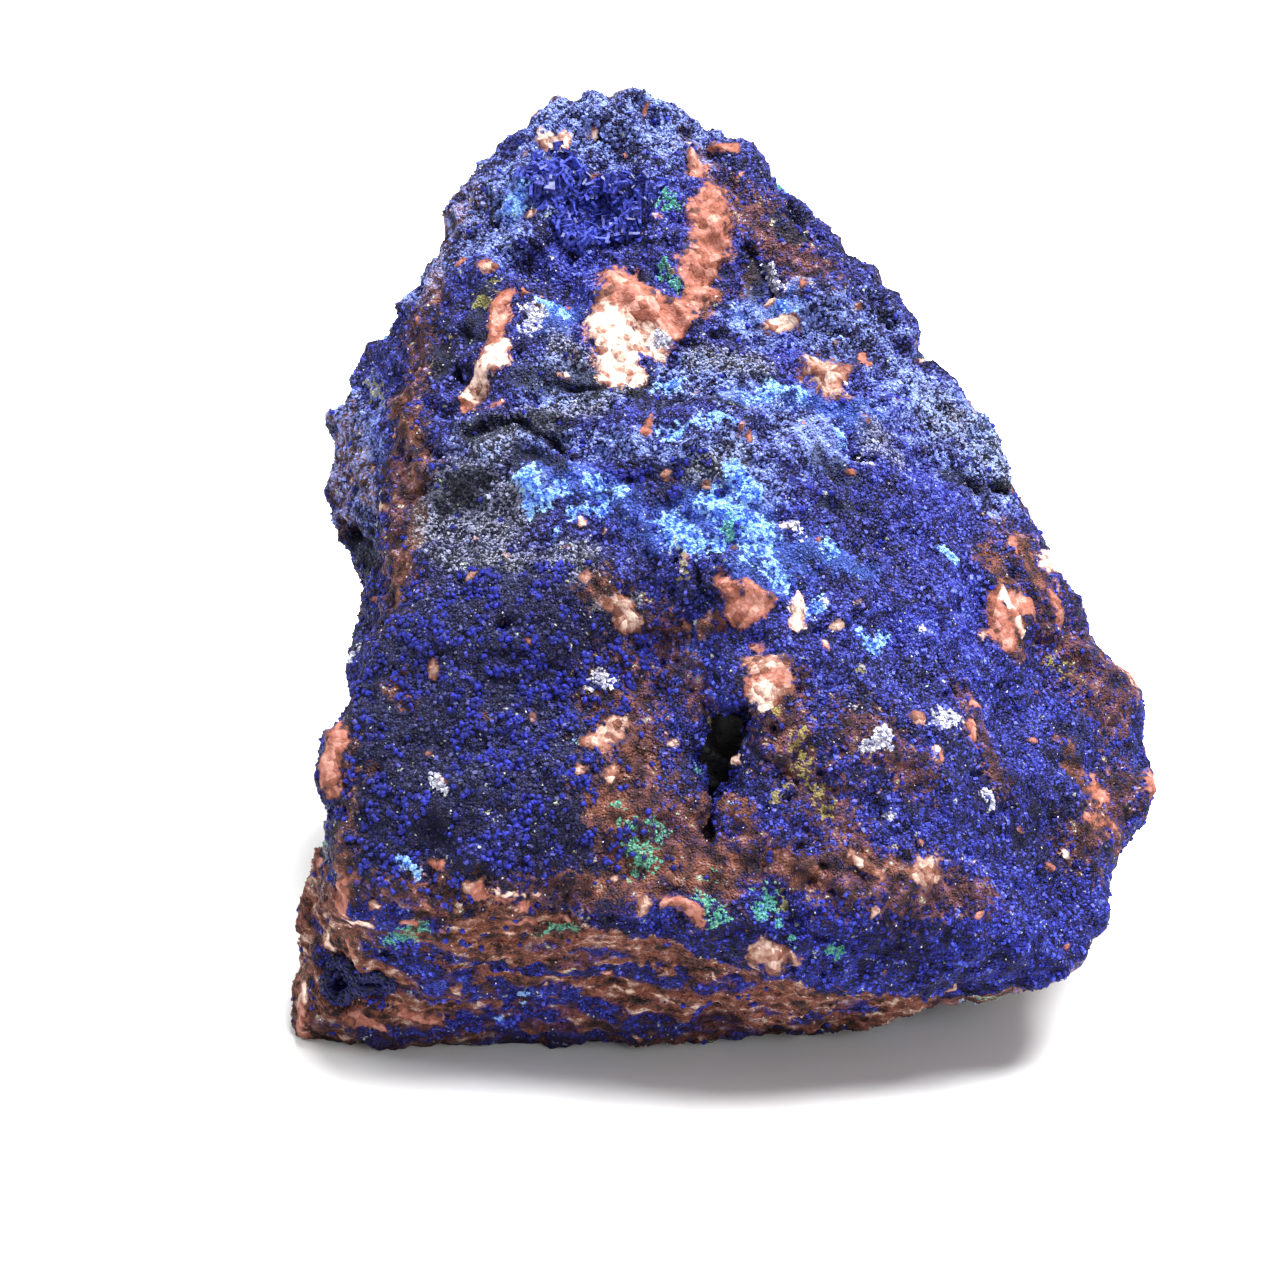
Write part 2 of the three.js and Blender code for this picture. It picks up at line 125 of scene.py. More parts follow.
SALMON = [
    ((712, 205), (706, 250), (690, 290), (668, 318), 3.3),
    ((620, 284), (630, 302), 4),
    ((640, 318), (668, 322), 2.4),
    ((690, 165), (704, 180), 1.8),
    ((650, 305), (660, 330), 2.2),
    ((675, 330), (692, 320), 1.6),
    ((505, 305), (497, 338), 2.1),
    ((472, 404), (492, 412), 1.5),
    ((528, 302), (560, 308), (585, 330), 1.2),
    ((740, 546), (750, 566), 1.1),
    ((725, 585), (745, 612), 2.2),
    ((760, 592), (756, 612), 1.6),
    ((710, 597), 1),
    ((764, 648), 1.4),
    ((735, 145), (720, 148), 1.4),
    ((650, 86), 1),
    ((860, 365), 1.5),
    ((770, 683), (752, 690), 2.6),
    ((336, 735), (328, 760), (338, 795), 2.3),
    ((347, 885), (350, 908), 2),
    ((352, 952), 1.3),
    ((302, 1010), (300, 1035), 1.8),
    ((1015, 535), (1018, 562), 1.6),
    ((990, 600), (1000, 640), 2.4),
    ((1028, 615), (1015, 608), 1.8),
    ((1055, 592), (1058, 612), 1.3),
    ((1158, 778), (1148, 788), 1.9),
    ((1090, 785), (1098, 800), 1.6),
    ((1088, 820), (1100, 830), 1.9),
    ((1129, 826), 1.1),
    ((560, 506), (568, 510), 0.8),
    ((818, 702), 1),
    ((497, 262), 0.7),
    ((486, 270), 0.8),
    ((735, 432), (732, 442), 0.7),
    ((925, 452), 0.9),
    ((935, 758), 1),
    ((437, 862), 1.1),
    ((505, 905), (497, 900), 1),
    ((1152, 790), (1120, 795), 1),
    ((972, 705), (974, 740), 1),
    ((470, 892), (520, 904), 1.3),
    ((555, 984), (602, 993), 1.1),
    ((400, 1006), (440, 1014), 1.2),
    ((350, 1022), (382, 1027), 1.1),
    ((648, 905), (702, 915), 1.2),
    ((405, 920), (560, 922), 0.9),
]
TAN = [
    ((828, 362), (830, 382), 4.2),
    ((776, 327), (786, 329), 2.4),
    ((608, 302), (618, 316), 3),
    ((487, 382), (482, 398), 2.2),
    ((612, 612), (625, 632), 2.4),
    ((590, 740), (620, 732), 1.9),
    ((612, 770), (608, 780), 1.7),
    ((760, 672), (772, 690), 3.2),
    ((328, 752), (322, 772), 1.8),
    ((915, 872), 2),
    ((945, 350), (935, 355), 0.8),
    ((750, 955), (785, 965), 2.4),
    ((770, 290), (765, 300), 1),
    ((300, 985), (298, 1030), 2.2),
    ((462, 885), (470, 890), 1.5),
    ((850, 857), (870, 870), 1.4),
    ((1145, 780), 1.4),
]
RUST = [
    ((600, 800), (640, 860), (720, 880), 3.6),
    ((690, 805), (700, 830), 2.2),
    ((738, 800), (750, 830), 2),
    ((690, 870), (760, 868), (815, 872), 2.6),
    ((590, 890), (660, 895), 2.6),
    ((620, 775), (640, 755), 2.4),
    ((430, 470), (410, 560), (398, 600), 2.2),
    ((392, 400), (410, 430), (425, 470), 2.2),
    ((355, 455), (380, 500), 3),
    ((400, 680), (408, 695), 1.6),
    ((475, 712), (480, 718), 1),
    ((375, 770), 1.1),
    ((985, 560), (1010, 590), (1010, 650), 3),
    ((1025, 545), (1040, 580), 2.6),
    ((1085, 640), (1125, 690), 1.8),
    ((1090, 835), (1110, 845), 2.2),
    ((1060, 740), (1080, 780), 1.6),
    ((715, 225), (700, 300), 3.4),
    ((745, 270), (735, 290), 1.8),
    ((440, 250), (445, 290), 2),
    ((352, 870), (358, 900), 2.4),
    ((330, 870), (335, 900), 1.6),
    ((600, 585), (600, 610), 1.4),
    ((520, 350), (525, 355), 0.9),
    ((840, 858), (900, 870), 1.8),
    ((700, 640), (720, 625), 1.6),
    ((385, 500), 1.2),
]
POWDER = [
    ((524, 485), (540, 505), 2),
    ((530, 505), (545, 498), (555, 488), 1.6),
    ((570, 520), (585, 515), 1.5),
    ((590, 488), (610, 500), 1.5),
    ((595, 518), (604, 508), 1.2),
    ((627, 495), 1),
    ((515, 532), (520, 530), 1),
    ((548, 540), 0.9),
    ((676, 530), (690, 560), 1.9),
    ((668, 520), (675, 545), 1.6),
    ((735, 470), (745, 490), 1.5),
    ((712, 500), (740, 515), (760, 535), 2.1),
    ((700, 540), (715, 545), 1.6),
    ((760, 555), (775, 572), 1.8),
    ((745, 398), (775, 392), 1.5),
    ((700, 430), (730, 436), 0.9),
    ((650, 432), (690, 430), 0.8),
    ((790, 400), (800, 410), 1.3),
    ((836, 440), 1.2),
    ((775, 300), (782, 312), 1.4),
    ((830, 545), (835, 560), 1.3),
    ((940, 564), (952, 570), 0.8),
    ((408, 860), (412, 866), 1.4),
    ((812, 603), (822, 598), 1.1),
    ((860, 640), (880, 645), 1.4),
    ((545, 318), (560, 325), 1.2),
    ((500, 1000), (520, 995), 1),
    ((815, 520), 1),
    ((540, 185), (505, 215), 1),
    ((662, 388), (680, 395), 1.4),
]
MALACHITE = [
    ((635, 840), (645, 868), 2),
    ((655, 830), (660, 838), 1.2),
    ((620, 812), 1),
    ((675, 202), (682, 212), 1.5),
    ((672, 262), (670, 280), 1.4),
    ((710, 882), (720, 876), 1.1),
    ((760, 912), (775, 905), 1.7),
    ((770, 930), (790, 940), 1.3),
    ((398, 938), (425, 926), 1.6),
    ((535, 938), (550, 932), (575, 928), 1.1),
    ((700, 898), (712, 912), 1.2),
    ((690, 760), (695, 775), 0.9),
    ((580, 742), 0.9),
    ((728, 752), 0.8),
    ((835, 950), (845, 955), 1),
    ((645, 335), 0.7),
    ((725, 515), (732, 530), 1.2),
    ((830, 525), (832, 540), 1.1),
]
LICHEN = [
    ((800, 740), (815, 775), (822, 810), 1.6),
    ((712, 715), (718, 722), 0.9),
    ((775, 715), (782, 712), 1),
    ((680, 562), (684, 578), 1.3),
    ((855, 665), 1.2),
    ((1055, 660), (1065, 662), 1.4),
    ((775, 800), (790, 790), 1.2),
    ((800, 478), (805, 490), 0.9),
    ((480, 290), (488, 296), 1.6),
    ((978, 790), 1),
    ((370, 380), (378, 400), 1.6),
    ((795, 910), 1.5),
    ((864, 937), 1),
]
# Black oxide, partly painted shade: the darkest strokes lie along crevices and in the shadow under the
# left overhang.
OXIDE_AND_SHADE = [
    ((478, 290), (472, 330), 2.2),
    ((440, 350), (450, 380), 2),
    ((520, 385), (600, 385), 2.8),
    ((545, 430), (560, 436), 2.2),
    ((470, 440), (500, 440), 2),
    ((450, 495), (470, 480), 2.4),
    ((640, 392), (645, 405), 1.9),
    ((665, 408), (672, 402), 1.6),
    ((710, 405), (725, 410), 1.8),
    ((760, 388), (770, 385), 1.4),
    ((820, 460), (840, 470), 2.4),
    ((510, 462), (560, 470), 1.4),
    ((362, 552), (372, 565), 3.6),
    ((745, 265), (750, 290), 2),
    ((800, 235), (780, 230), 1.8),
    ((930, 470), (960, 485), (1010, 490), 1.4),
    ((820, 505), (860, 500), 1.2),
    ((580, 385), (590, 400), 1.6),
]
# A grey speckled film, partly painted sheen on the upward ledges.
GREY_FILM_AND_SHEEN = [
    ((440, 520), (500, 530), 4.6),
    ((460, 480), (520, 500), 4.2),
    ((450, 560), (590, 565), 3),
    ((480, 450), (620, 400), 3.6),
    ((940, 415), (985, 440), (1000, 470), 4.6),
    ((870, 440), (890, 460), 3.4),
    ((700, 470), (740, 460), 2.6),
    ((560, 355), (590, 370), 3),
    ((700, 365), (760, 370), 3),
    ((595, 615), (625, 600), 1.6),
]
WHITE = [
    ((938, 722), (955, 728), 1.5),
    ((874, 738), (884, 740), 1.2),
    ((978, 788), (984, 795), 1.1),
    ((893, 823), (897, 832), 1.1),
    ((785, 535), (792, 545), 1.2),
    ((798, 552), 0.9),
    ((827, 597), 0.7),
    ((445, 775), (452, 785), 1.1),
    ((424, 768), 0.7),
    ((855, 450), (860, 460), 0.9),
    ((535, 325), (530, 340), 1.6),
    ((655, 340), (662, 345), 1.5),
    ((990, 805), (995, 815), 0.9),
    ((600, 680), (616, 682), 1.2),
    ((918, 622), 0.6),
    ((760, 265), (778, 280), 1.2),
    ((348, 655), (350, 665), 1.3),
    ((855, 705), 0.8),
]
# Dark navy azurite, partly painted shade where the lower left face and the notch turn from the light.
NAVY_AND_SHADE = [
    ((400, 640), (470, 610), (570, 610), 8),
    ((380, 730), (480, 720), (590, 680), 9),
    ((370, 820), (470, 800), (590, 810), 9),
    ((460, 870), (400, 850), 5),
    ((640, 480), (700, 480), 3.6),
    ((345, 985), (375, 985), 4),
    ((1125, 808), 2.4),
]
BRIGHT = [
    ((680, 540), (760, 520), (840, 430), 7),
    ((860, 400), (920, 480), (960, 600), 6),
    ((850, 620), (950, 640), (960, 700), 5),
    ((760, 300), (800, 400), 5),
    ((560, 490), (640, 510), 5),
    ((660, 650), (690, 680), 3),
    ((1130, 715), (1150, 725), 3),
    ((450, 860), (500, 850), 3),
    ((1000, 900), (1080, 920), 6),
    ((560, 260), (600, 290), 4),
]
MOTTLED = [
    ((440, 240), (410, 420), (395, 600), 7),
    ((350, 430), (345, 520), 6),
    ((620, 690), (640, 800), (700, 870), 9),
    ((700, 850), (820, 870), (930, 890), 6.5),
    ((380, 895), (520, 895), (620, 880), 5),
    ((345, 740), (350, 880), 3.5),
    ((600, 590), (640, 640), 5),
    ((1010, 540), (1060, 640), (1110, 720), 6.5),
    ((1120, 780), (1080, 850), 6),
    ((740, 210), (800, 270), 7),
    ((690, 150), (730, 200), 5),
    ((470, 210), (440, 260), 5),
    ((780, 700), (820, 800), 7),
    ((960, 700), (1000, 780), 4),
    ((660, 620), (700, 700), 4),
    ((820, 800), (900, 900), (980, 900), 5),
    ((860, 720), (920, 780), 5),
]
# Painted sheen: pale strokes where the summit, the upward ledges and the left flank catch the light.
PAINTED_SHEEN = [
    ((560, 110), (670, 130), 8),
    ((560, 150), (490, 240), 5),
    ((470, 445), (640, 445), (720, 455), 2.4),
    ((540, 390), (620, 400), 4),
    ((690, 390), (800, 440), 6),
    ((920, 400), (990, 470), 8),
    ((350, 440), (360, 500), 8),
    ((480, 200), (430, 280), 6),
    ((760, 320), (860, 330), 5),
    ((720, 440), (760, 480), 4),
]
AZURE = [
    ((540, 480), (620, 500), 3.5),
    ((670, 530), (740, 500), (770, 560), 5),
    ((740, 400), (860, 420), 3.5),
    ((800, 560), (860, 570), 3),
    ((500, 220), (545, 175), 2.2),
    ((745, 320), (790, 300), 3),
    ((540, 340), (575, 320), 2.5),
    ((1000, 380), (1030, 420), 3),
    ((690, 640), (690, 680), 2),
]
BLUE_SEAMS = [
    ((390, 962), (500, 962), 1.7),
    ((500, 972), (590, 968), (680, 972), 1.8),
    ((850, 985), (950, 988), 1.4),
    ((440, 1012), (520, 1010), 1.3),
    ((640, 1020), (760, 1000), 1.3),
    ((380, 925), (470, 905), 0.9),
]
CREVICES = [
    ((470, 436), (510, 432), (575, 464), 1.5),
    ((850, 448), (900, 468), (1010, 494), 1.3),
    ((560, 384), (640, 402), (690, 402), 1.6),
    ((700, 408), (730, 412), 1.5),
    ((360, 960), (420, 958), 1.2),
    ((350, 542), (384, 562), 2.8),
    ((740, 250), (770, 280), 2),
    ((700, 560), (705, 600), 1.4),
    ((470, 320), (465, 380), 1.3),
    ((940, 660), (955, 700), 1.2),
    ((722, 795), (708, 832), 1.3),
    ((860, 290), (880, 330), 1.6),
    ((790, 215), (810, 245), 1.5),
    ((575, 215), (600, 240), 1.6),
]
RIBS = [
    ((572, 150), (530, 185), (500, 215), (475, 275), 2.6),
    ((488, 276), (525, 300), (590, 345), 2),
    ((450, 430), (560, 425), (650, 436), (730, 440), 2.6),
    ((735, 438), (770, 400), (850, 405), (930, 415), 2.4),
    ((575, 470), (640, 500), (660, 560), 2),
    ((690, 165), (720, 210), (700, 290), 2.4),
    ((340, 900), (500, 912), (700, 910), (820, 945), 2.2),
    ((660, 620), (700, 590), (790, 600), 2.2),
    ((985, 540), (1040, 600), (1120, 690), 2.4),
]
BLADED = [((560, 190), (585, 235), (630, 215), 7)]
PINHOLES = [
    ((502, 624), 0.9),
    ((560, 684), 0.7),
    ((783, 775), 0.9),
    ((590, 652), 0.6),
    ((742, 716), (722, 732), 2.4),
    ((718, 745), (713, 780), 2.6),
    ((715, 740), (706, 800), (708, 834), 2),
]
ZONES = {
    "pale_rock": (CREAM, SALMON, TAN),
    "stains": (RUST, POWDER, MALACHITE),
    "films": (LICHEN, OXIDE_AND_SHADE, GREY_FILM_AND_SHEEN),
    "blues": (WHITE, NAVY_AND_SHADE, BRIGHT),
    "washes": (MOTTLED, PAINTED_SHEEN, AZURE),
    "shapes": (BLUE_SEAMS, CREVICES, RIBS),
}

# The patches on the sides that the view doesn't reach: the zone, and then which of its three kinds,
# their width in millimetres, their cover, where 0.5 is half of the side, and the seed.
HIDDEN_PATCHES = {
    "stains": [(0, 24, 0.14, 61), (1, 13, -0.14, 71), (2, 11, -0.04, 81)],
    "pale_rock": [(0, 12, -0.1, 91), (1, 15, 0, 101), (2, 14, 0, 111)],
    "films": [(1, 16, 0.2, 121), (2, 18, 0.08, 131)],
    "blues": [(1, 30, 0.44, 141), (2, 26, 0.4, 151)],
    "washes": [(0, 28, 0.5, 161), (1, 24, 0.1, 171), (2, 20, 0.1, 181)],
}

# The pebbles on the whole block: the kind of pale rock, how many millimetres apart they lie, their
# radius as a share of that and the seed.
PEBBLES = [(0, 14, 0.07, 501), (1, 10, 0.09, 511), (2, 10, 0.12, 521)]

GRID_TURN = np.array(Euler((0.6, 0.4, 1.1)).to_matrix())


def millimetres(vectors):
    return np.array(vectors, float) / MM


def lengths(vectors):
    return np.linalg.norm(vectors, axis=-1)


# Numbers from 0 to 1 that are always the same for the same cell of a grid and the same seed.
def cell_numbers(cells, seed):
    x, y, z = (cells[..., axis].astype(np.int64).astype(np.uint64) for axis in range(3))
    mixed = x * np.uint64(73856093) ^ y * np.uint64(19349663) ^ z * np.uint64(83492791)
    mixed = (mixed ^ np.uint64(seed * 2654435761)) & np.uint64(0xFFFFFFFF)
    for shift, factor in ((15, 2246822519), (13, 3266489917)):
        mixed = (mixed ^ (mixed >> np.uint64(shift))) * np.uint64(factor) & np.uint64(0xFFFFFFFF)
    return ((mixed ^ (mixed >> np.uint64(16))) & np.uint64(0xFFFFFF)) / float(0xFFFFFF)


# Smooth noise from -1 to 1 at points in millimetres. Its grid is turned, so no edge shows.
def noise(points, wavelength, seed):
    at = points @ GRID_TURN / wavelength
    home = np.floor(at)
    share = at - home
    share = share * share * (3 - 2 * share)
    total = np.zeros(len(points))
    for corner in np.ndindex(2, 2, 2):
        weight = np.prod(np.where(np.array(corner), share, 1 - share), axis=1)
        total += weight * cell_numbers(home + corner, seed)
    return 2 * total - 1


# Noise in several octaves, each half as wide and high as the one before.
def layered_noise(points, wavelength, octaves, seed):
    layers = range(octaves)
    total = sum(noise(points, wavelength / 2**layer, seed + layer) / 2**layer for layer in layers)
    return total / sum(0.5**layer for layer in layers)


# The distance to the nearest of the points scattered one to a cell, in cells.
def cell_distance(points, spacing, seed):
    at = points / spacing
    home = np.floor(at)
    nearest = np.full(len(points), 9.0)
    for offset in np.ndindex(3, 3, 3):
        cell = home + np.array(offset) - 1
        middle = cell + np.stack([cell_numbers(cell, seed + axis) for axis in range(3)], axis=1)
        nearest = np.minimum(nearest, lengths(middle - at))
    return nearest


def step(value, low, high):
    share = np.clip((value - low) / (high - low), 0, 1)
    return share * share * (3 - 2 * share)


# The direction of the line of sight through a column and row of the reference view.
def sight(column, row):
    middle = PICTURE_SIDE / 2
    across = SIDEWAYS * (column - middle) + UPWARD * (middle - row)
    return (AWAY * VIEW_REACH / MM * PIXELS_PER_MM + across).normalized()


# Where the line of sight through a column and row meets the rock, in millimetres. A pixel just
# off the outline slides in towards the block's middle until it does.
def on_rock(tree, pixel):
    at = np.array(pixel, float)
    inward = BLOCK_MIDDLE - at
    while True:
        place = tree.ray_cast(EYE, sight(*at))[0]
        if place is not None:
            return millimetres(place)
        at += 2 * inward / lengths(inward)


# The distance from each point to a line through several points, or to its one point.
def distance_to(points, line):
    starts, ends = (line, line) if len(line) == 1 else (line[:-1], line[1:])
    nearest = np.full(len(points), np.inf)
    for start, end in zip(starts, ends):
        run = end - start
        share = np.clip((points - start) @ run / max(run @ run, 1e-9), 0, 1)
        nearest = np.minimum(nearest, lengths(points - start - share[:, None] * run))
    return nearest


# How far inside a mineral's strokes each point is: 1 in the middle, 0 on the rim, below 0 outside.
def inside_strokes(points, tree, strokes):
    field = np.full(len(points), -1.0)
    for *pixels, half_width in strokes:
        line = np.array([on_rock(tree, pixel) for pixel in pixels])
        low, high = line.min(axis=0) - 2 * half_width, line.max(axis=0) + 2 * half_width
        near = np.flatnonzero(np.all((points > low) & (points < high), axis=1))
        field[near] = np.maximum(field[near], 1 - distance_to(points[near], line) / half_width)
    return field


# The points pushed about by noise, so that what is drawn by distance gets a ragged border.
def shaken(points):
    for wavelength, reach, seed in PUSHES:
        push = [noise(points, wavelength, seed + axis) for axis in range(3)]
        points = points + reach * np.stack(push, axis=1)
    return points


# The corners of a CAD node in millimetres, each once, with its triangles.
def cad_form(node):
    form = bmesh.new()
    form.from_mesh(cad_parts[node].data)
    bmesh.ops.remove_doubles(form, verts=form.verts, dist=1e-7)
    bmesh.ops.triangulate(form, faces=form.faces)
    corners = millimetres([vertex.co for vertex in form.verts])
    triangles = np.array([[vertex.index for vertex in face.verts] for face in form.faces])
    form.free()
    return corners, triangles


# Every edge once, and for each triangle the numbers of its three edges.
def edges_of(triangles):
    starts, ends = triangles.T.ravel(), triangles[:, [1, 2, 0]].T.ravel()
    count = triangles.max() + 1
    keys = np.minimum(starts, ends) * count + np.maximum(starts, ends)
    keys, which = np.unique(keys, return_inverse=True)
    return keys // count, keys % count, which.reshape(3, -1).T


# Cuts every edge that is longer than its two ends allow, times the coarseness, until none is.
def cut_small(corners, triangles, allowed, coarseness=1):
    while True:
        first, second, sides = edges_of(triangles)
        limits = (allowed[first] + allowed[second]) / 2
        long = lengths(corners[first] - corners[second]) > limits * coarseness
        if not long.any():
            return corners, triangles, allowed
        middles = np.where(long, len(corners) - 1 + np.cumsum(long), -1)
        corners = np.concatenate([corners, (corners[first] + corners[second])[long] / 2])
        allowed = np.concatenate([allowed, limits[long]])
        triangles = cut_triangles(corners, triangles, middles[sides])


# Parts each triangle by the middles of its cut edges, where -1 stands for an edge left whole.
def cut_triangles(corners, triangles, middles):
    cut = middles >= 0
    count = cut.sum(axis=1)
    turn = np.select([count == 1, count == 2], [cut.argmax(axis=1), (cut.argmin(axis=1) + 1) % 3], 0)
    order = (turn[:, None] + np.arange(3)) % 3
    a, b, c = np.take_along_axis(triangles, order, 1).T
    ab, bc, ca = np.take_along_axis(middles, order, 1).T
    one, three = count == 1, count == 3
    straight = (count == 2) & (lengths(corners[a] - corners[bc]) < lengths(corners[ab] - corners[c]))
    crossed = (count == 2) & ~straight
    parts = [
        (count == 0, (a, b, c)),
        (one, (a, ab, c)),
        (one, (ab, b, c)),
        (count == 2, (ab, b, bc)),
        (straight, (a, ab, bc)),
        (straight, (a, bc, c)),
        (crossed, (a, ab, c)),
        (crossed, (ab, bc, c)),
        (three, (a, ab, ca)),
        (three, (ab, b, bc)),
        (three, (ca, bc, c)),
        (three, (ab, bc, ca)),
    ]
    return np.concatenate([np.stack(corner, axis=1)[chosen] for chosen, corner in parts])


# The outward direction at each corner.
def outward_ways(corners, triangles):
    a, b, c = (corners[triangles[:, turn]] for turn in range(3))
    facing = np.cross(b - a, c - a)
    sums = [np.bincount(triangles.T.ravel(), np.tile(way, 3), len(corners)) for way in facing.T]
    total = np.stack(sums, axis=1)
    return total / np.maximum(lengths(total), 1e-12)[:, None]


# Moves each corner towards the middle of its neighbours, several times.
def rounded(points, triangles, steps, share):
    first, second, _ = edges_of(triangles)
    ends = np.concatenate([first, second])
    others = np.concatenate([second, first])
    counts = np.bincount(ends, minlength=len(points))[:, None]
    for _ in range(steps):
        sums = [np.bincount(ends, points[others, axis], len(points)) for axis in range(3)]
        points = points + share * (np.stack(sums, axis=1) / counts - points)
    return points


# A Blender mesh of corners in millimetres, and the numbers that its corners carry.
def mesh_of(name, corners, triangles, numbers):
    mesh = bpy.data.meshes.new(name)
    mesh.from_pydata(corners * MM, [], triangles)
    for key, values in numbers.items():
        kind = "FLOAT_VECTOR" if values.ndim == 2 else "FLOAT"
        layer = mesh.attributes.new(key, kind, "POINT")
        layer.data.foreach_set("vector" if values.ndim == 2 else "value", values.ravel())
    mesh.shade_smooth()
    return mesh


# How squarely each corner faces the view, from -1 to 1.
def facing_view(corners, outward):
    toward = millimetres(EYE) - corners
    return np.sum(toward * outward, axis=1) / lengths(toward)


# The block, cut small and rounded, and which of its corners the base rests on.
def skin_form(corners, triangles):
    outward = outward_ways(corners, triangles)
    seen_share = step(facing_view(corners, outward), -0.1, 0.1)
    allowed = SIDE_EDGE + (FRONT_EDGE - SIDE_EDGE) * seen_share
    allowed = np.where((outward[:, 2] < -0.9) & (corners[:, 2] < 1), BASE_EDGE, allowed)
    for coarseness, steps in ROUNDINGS:
        corners, triangles, allowed = cut_small(corners, triangles, allowed, coarseness)
        resting = corners[:, 2] < 0.01
        corners = rounded(corners, triangles, steps, ROUNDING_SHARE)
        corners[resting, 2] = 0
    return corners, triangles, resting


# Works out the minerals, the painted sheen and shade, and the relief at each corner of the skin.
def dressed(corners, triangles, resting, tree):
    outward = outward_ways(corners, triangles)
    loose = shaken(corners)
    fields = {}
    for name, kinds in ZONES.items():
        fields[name] = np.stack([inside_strokes(loose, tree, kind) for kind in kinds], axis=1)
    fields["pinholes"] = inside_strokes(corners, tree, PINHOLES)
    fields["bladed"] = step(inside_strokes(loose, tree, BLADED), 0, 0.3)
    add_pebbles(loose, fields["pale_rock"])
    unseen = 1 - step(facing_view(corners, outward), 0, 0.2)
    fields["bedded"] = bedding(loose, unseen) * (1 - step(fields["shapes"][:, 0], -0.1, 0.3))
    fields["broad"] = layered_noise(corners, 9, 2, 401)
    seams = layered_noise(corners * SEAM_SHAPE, 3.5, 3, 411)
    fields["blue_seams"] = step(seams, 0.04, 0.18)
    # Painted shade: the lowest ten millimetres darken towards the base.
    fields["painted_foot_shade"] = 1 - step(loose[:, 2], 1, 11)
    # Painted sheen: corners that face up, and higher ones, get a paler share, as the overhead light's
    # sheen.
    fields["painted_top_sheen"] = step(outward[:, 2] + 0.004 * (corners[:, 2] - 70), 0.1, 0.9)
    hidden_minerals(loose, fields, unseen)
    height = np.where(resting, 0, relief(corners, fields))
    corners = corners + outward * height[:, None]
    corners[:, 2] = np.where(resting, 0, np.maximum(corners[:, 2], 0))
    fields.update(grain_cover(corners, fields, unseen, resting))
    return corners, fields, unseen


# Adds small pebbles, about two millimetres wide.
def add_pebbles(points, pale_rock):
    for kind, spacing, radius, seed in PEBBLES:
        strewn = 1 - cell_distance(points, spacing, seed) / radius
        pale_rock[:, kind] = np.maximum(pale_rock[:, kind], strewn)


# How much of the layered sandstone shows: along the lower edge, under the overhang and below.
def bedding(points, unseen):
    wave = 3 * noise(points, 22, 31) + 1.5 * noise(points, 7, 32)
    top = np.interp(points[:, 0], *np.transpose(BEDDING_TOP))
    front = 1 - step(points[:, 2] + wave, top - 3, top + 2)
    sides = (1 - step(points[:, 2] + 2 * wave, 16, 46)) * 0.8
    return np.maximum(front * (1 - unseen), sides * unseen)


# Minerals, painted sheen and painted shade on the sides that the view doesn't reach, in patches.
def hidden_minerals(points, fields, unseen):
    for name, patches in HIDDEN_PATCHES.items():
        for kind, wavelength, cover, seed in patches:
            patch = layered_noise(points, wavelength, 3, seed) * 2 - 1 + 2 * cover
            field = fields[name][:, kind]
            fields[name][:, kind] = np.maximum(field, patch - 2 * (1 - unseen))


# Layers of forms that stand highest where a kind of noise is 0: crests, or knobs about points.
def raised(points, kind, layers):
    total = 0
    for height, width, level, seed in layers:
        total = total + height * (level - np.abs(kind(points, width, seed)))
    return total


# The thin ledges of the bedding, which rise and dip across the block.
def ledges(points):
    level = points[:, 2] + 1.2 * noise(points, 14, 21) + BED_DIP * points[:, 0]
    streaks = 0.4 + 0.6 * noise(points * STREAK_SHAPE, 1.6, 23)
    return BED_RELIEF * (level / BED_THICKNESS % 1 - 0.5) * streaks


# How far the skin stands out from the rounded block, in millimetres.
def relief(points, fields):
    _, powder, _ = fields["stains"].T
    _, oxide_and_shade, _ = fields["films"].T
    _, navy_and_shade, _ = fields["blues"].T
    _, crevices, ribs = fields["shapes"].T
    bedded = fields["bedded"]
    fragment = step(fields["pale_rock"].max(axis=1), -0.05, 0.25)
    rugged = 1 - 0.6 * step(navy_and_shade, -0.3, 0.3)
    crags = step(points[:, 2], CRAGS_FROM, CRAGS_FULL) * raised(points, noise, CRAGS)
    large = layered_noise(points, 11, 2, 1) + (raised(points, noise, RIDGES) + crags) * rugged
    knobbly = raised(points, cell_distance, KNOBS)
    grit = GRIT_HEIGHT * layered_noise(points, 2.4, 2, 8)
    pitted = step(noise(points, 9, 17), 0.1, 0.4)
    pits = PIT_DEPTH * pitted * step(-cell_distance(points, 3.4, 12), -0.3, -0.1)
    rough = knobbly + grit - pits * rugged
    faceted = raised(points, cell_distance, FACETS) + 0.3 * grit + FRAGMENT_HEIGHT
    beds = ledges(points) + 1.2 * grit + 0.4 * knobbly
    small = rough * (1 - fragment) + faceted * fragment
    small = small * (1 - bedded) + (beds + 0.4 * rough) * bedded
    small += RIB_HEIGHT * step(ribs, 0, 1) - CREVICE_DEPTH * step(crevices, 0, 0.9)
    small -= PINHOLE_DEPTH * step(fields["pinholes"], 0, 0.7)
    films = step(powder, 0, 0.4) - step(oxide_and_shade, 0, 0.4)
    return large + small + FILM_THICKNESS * films


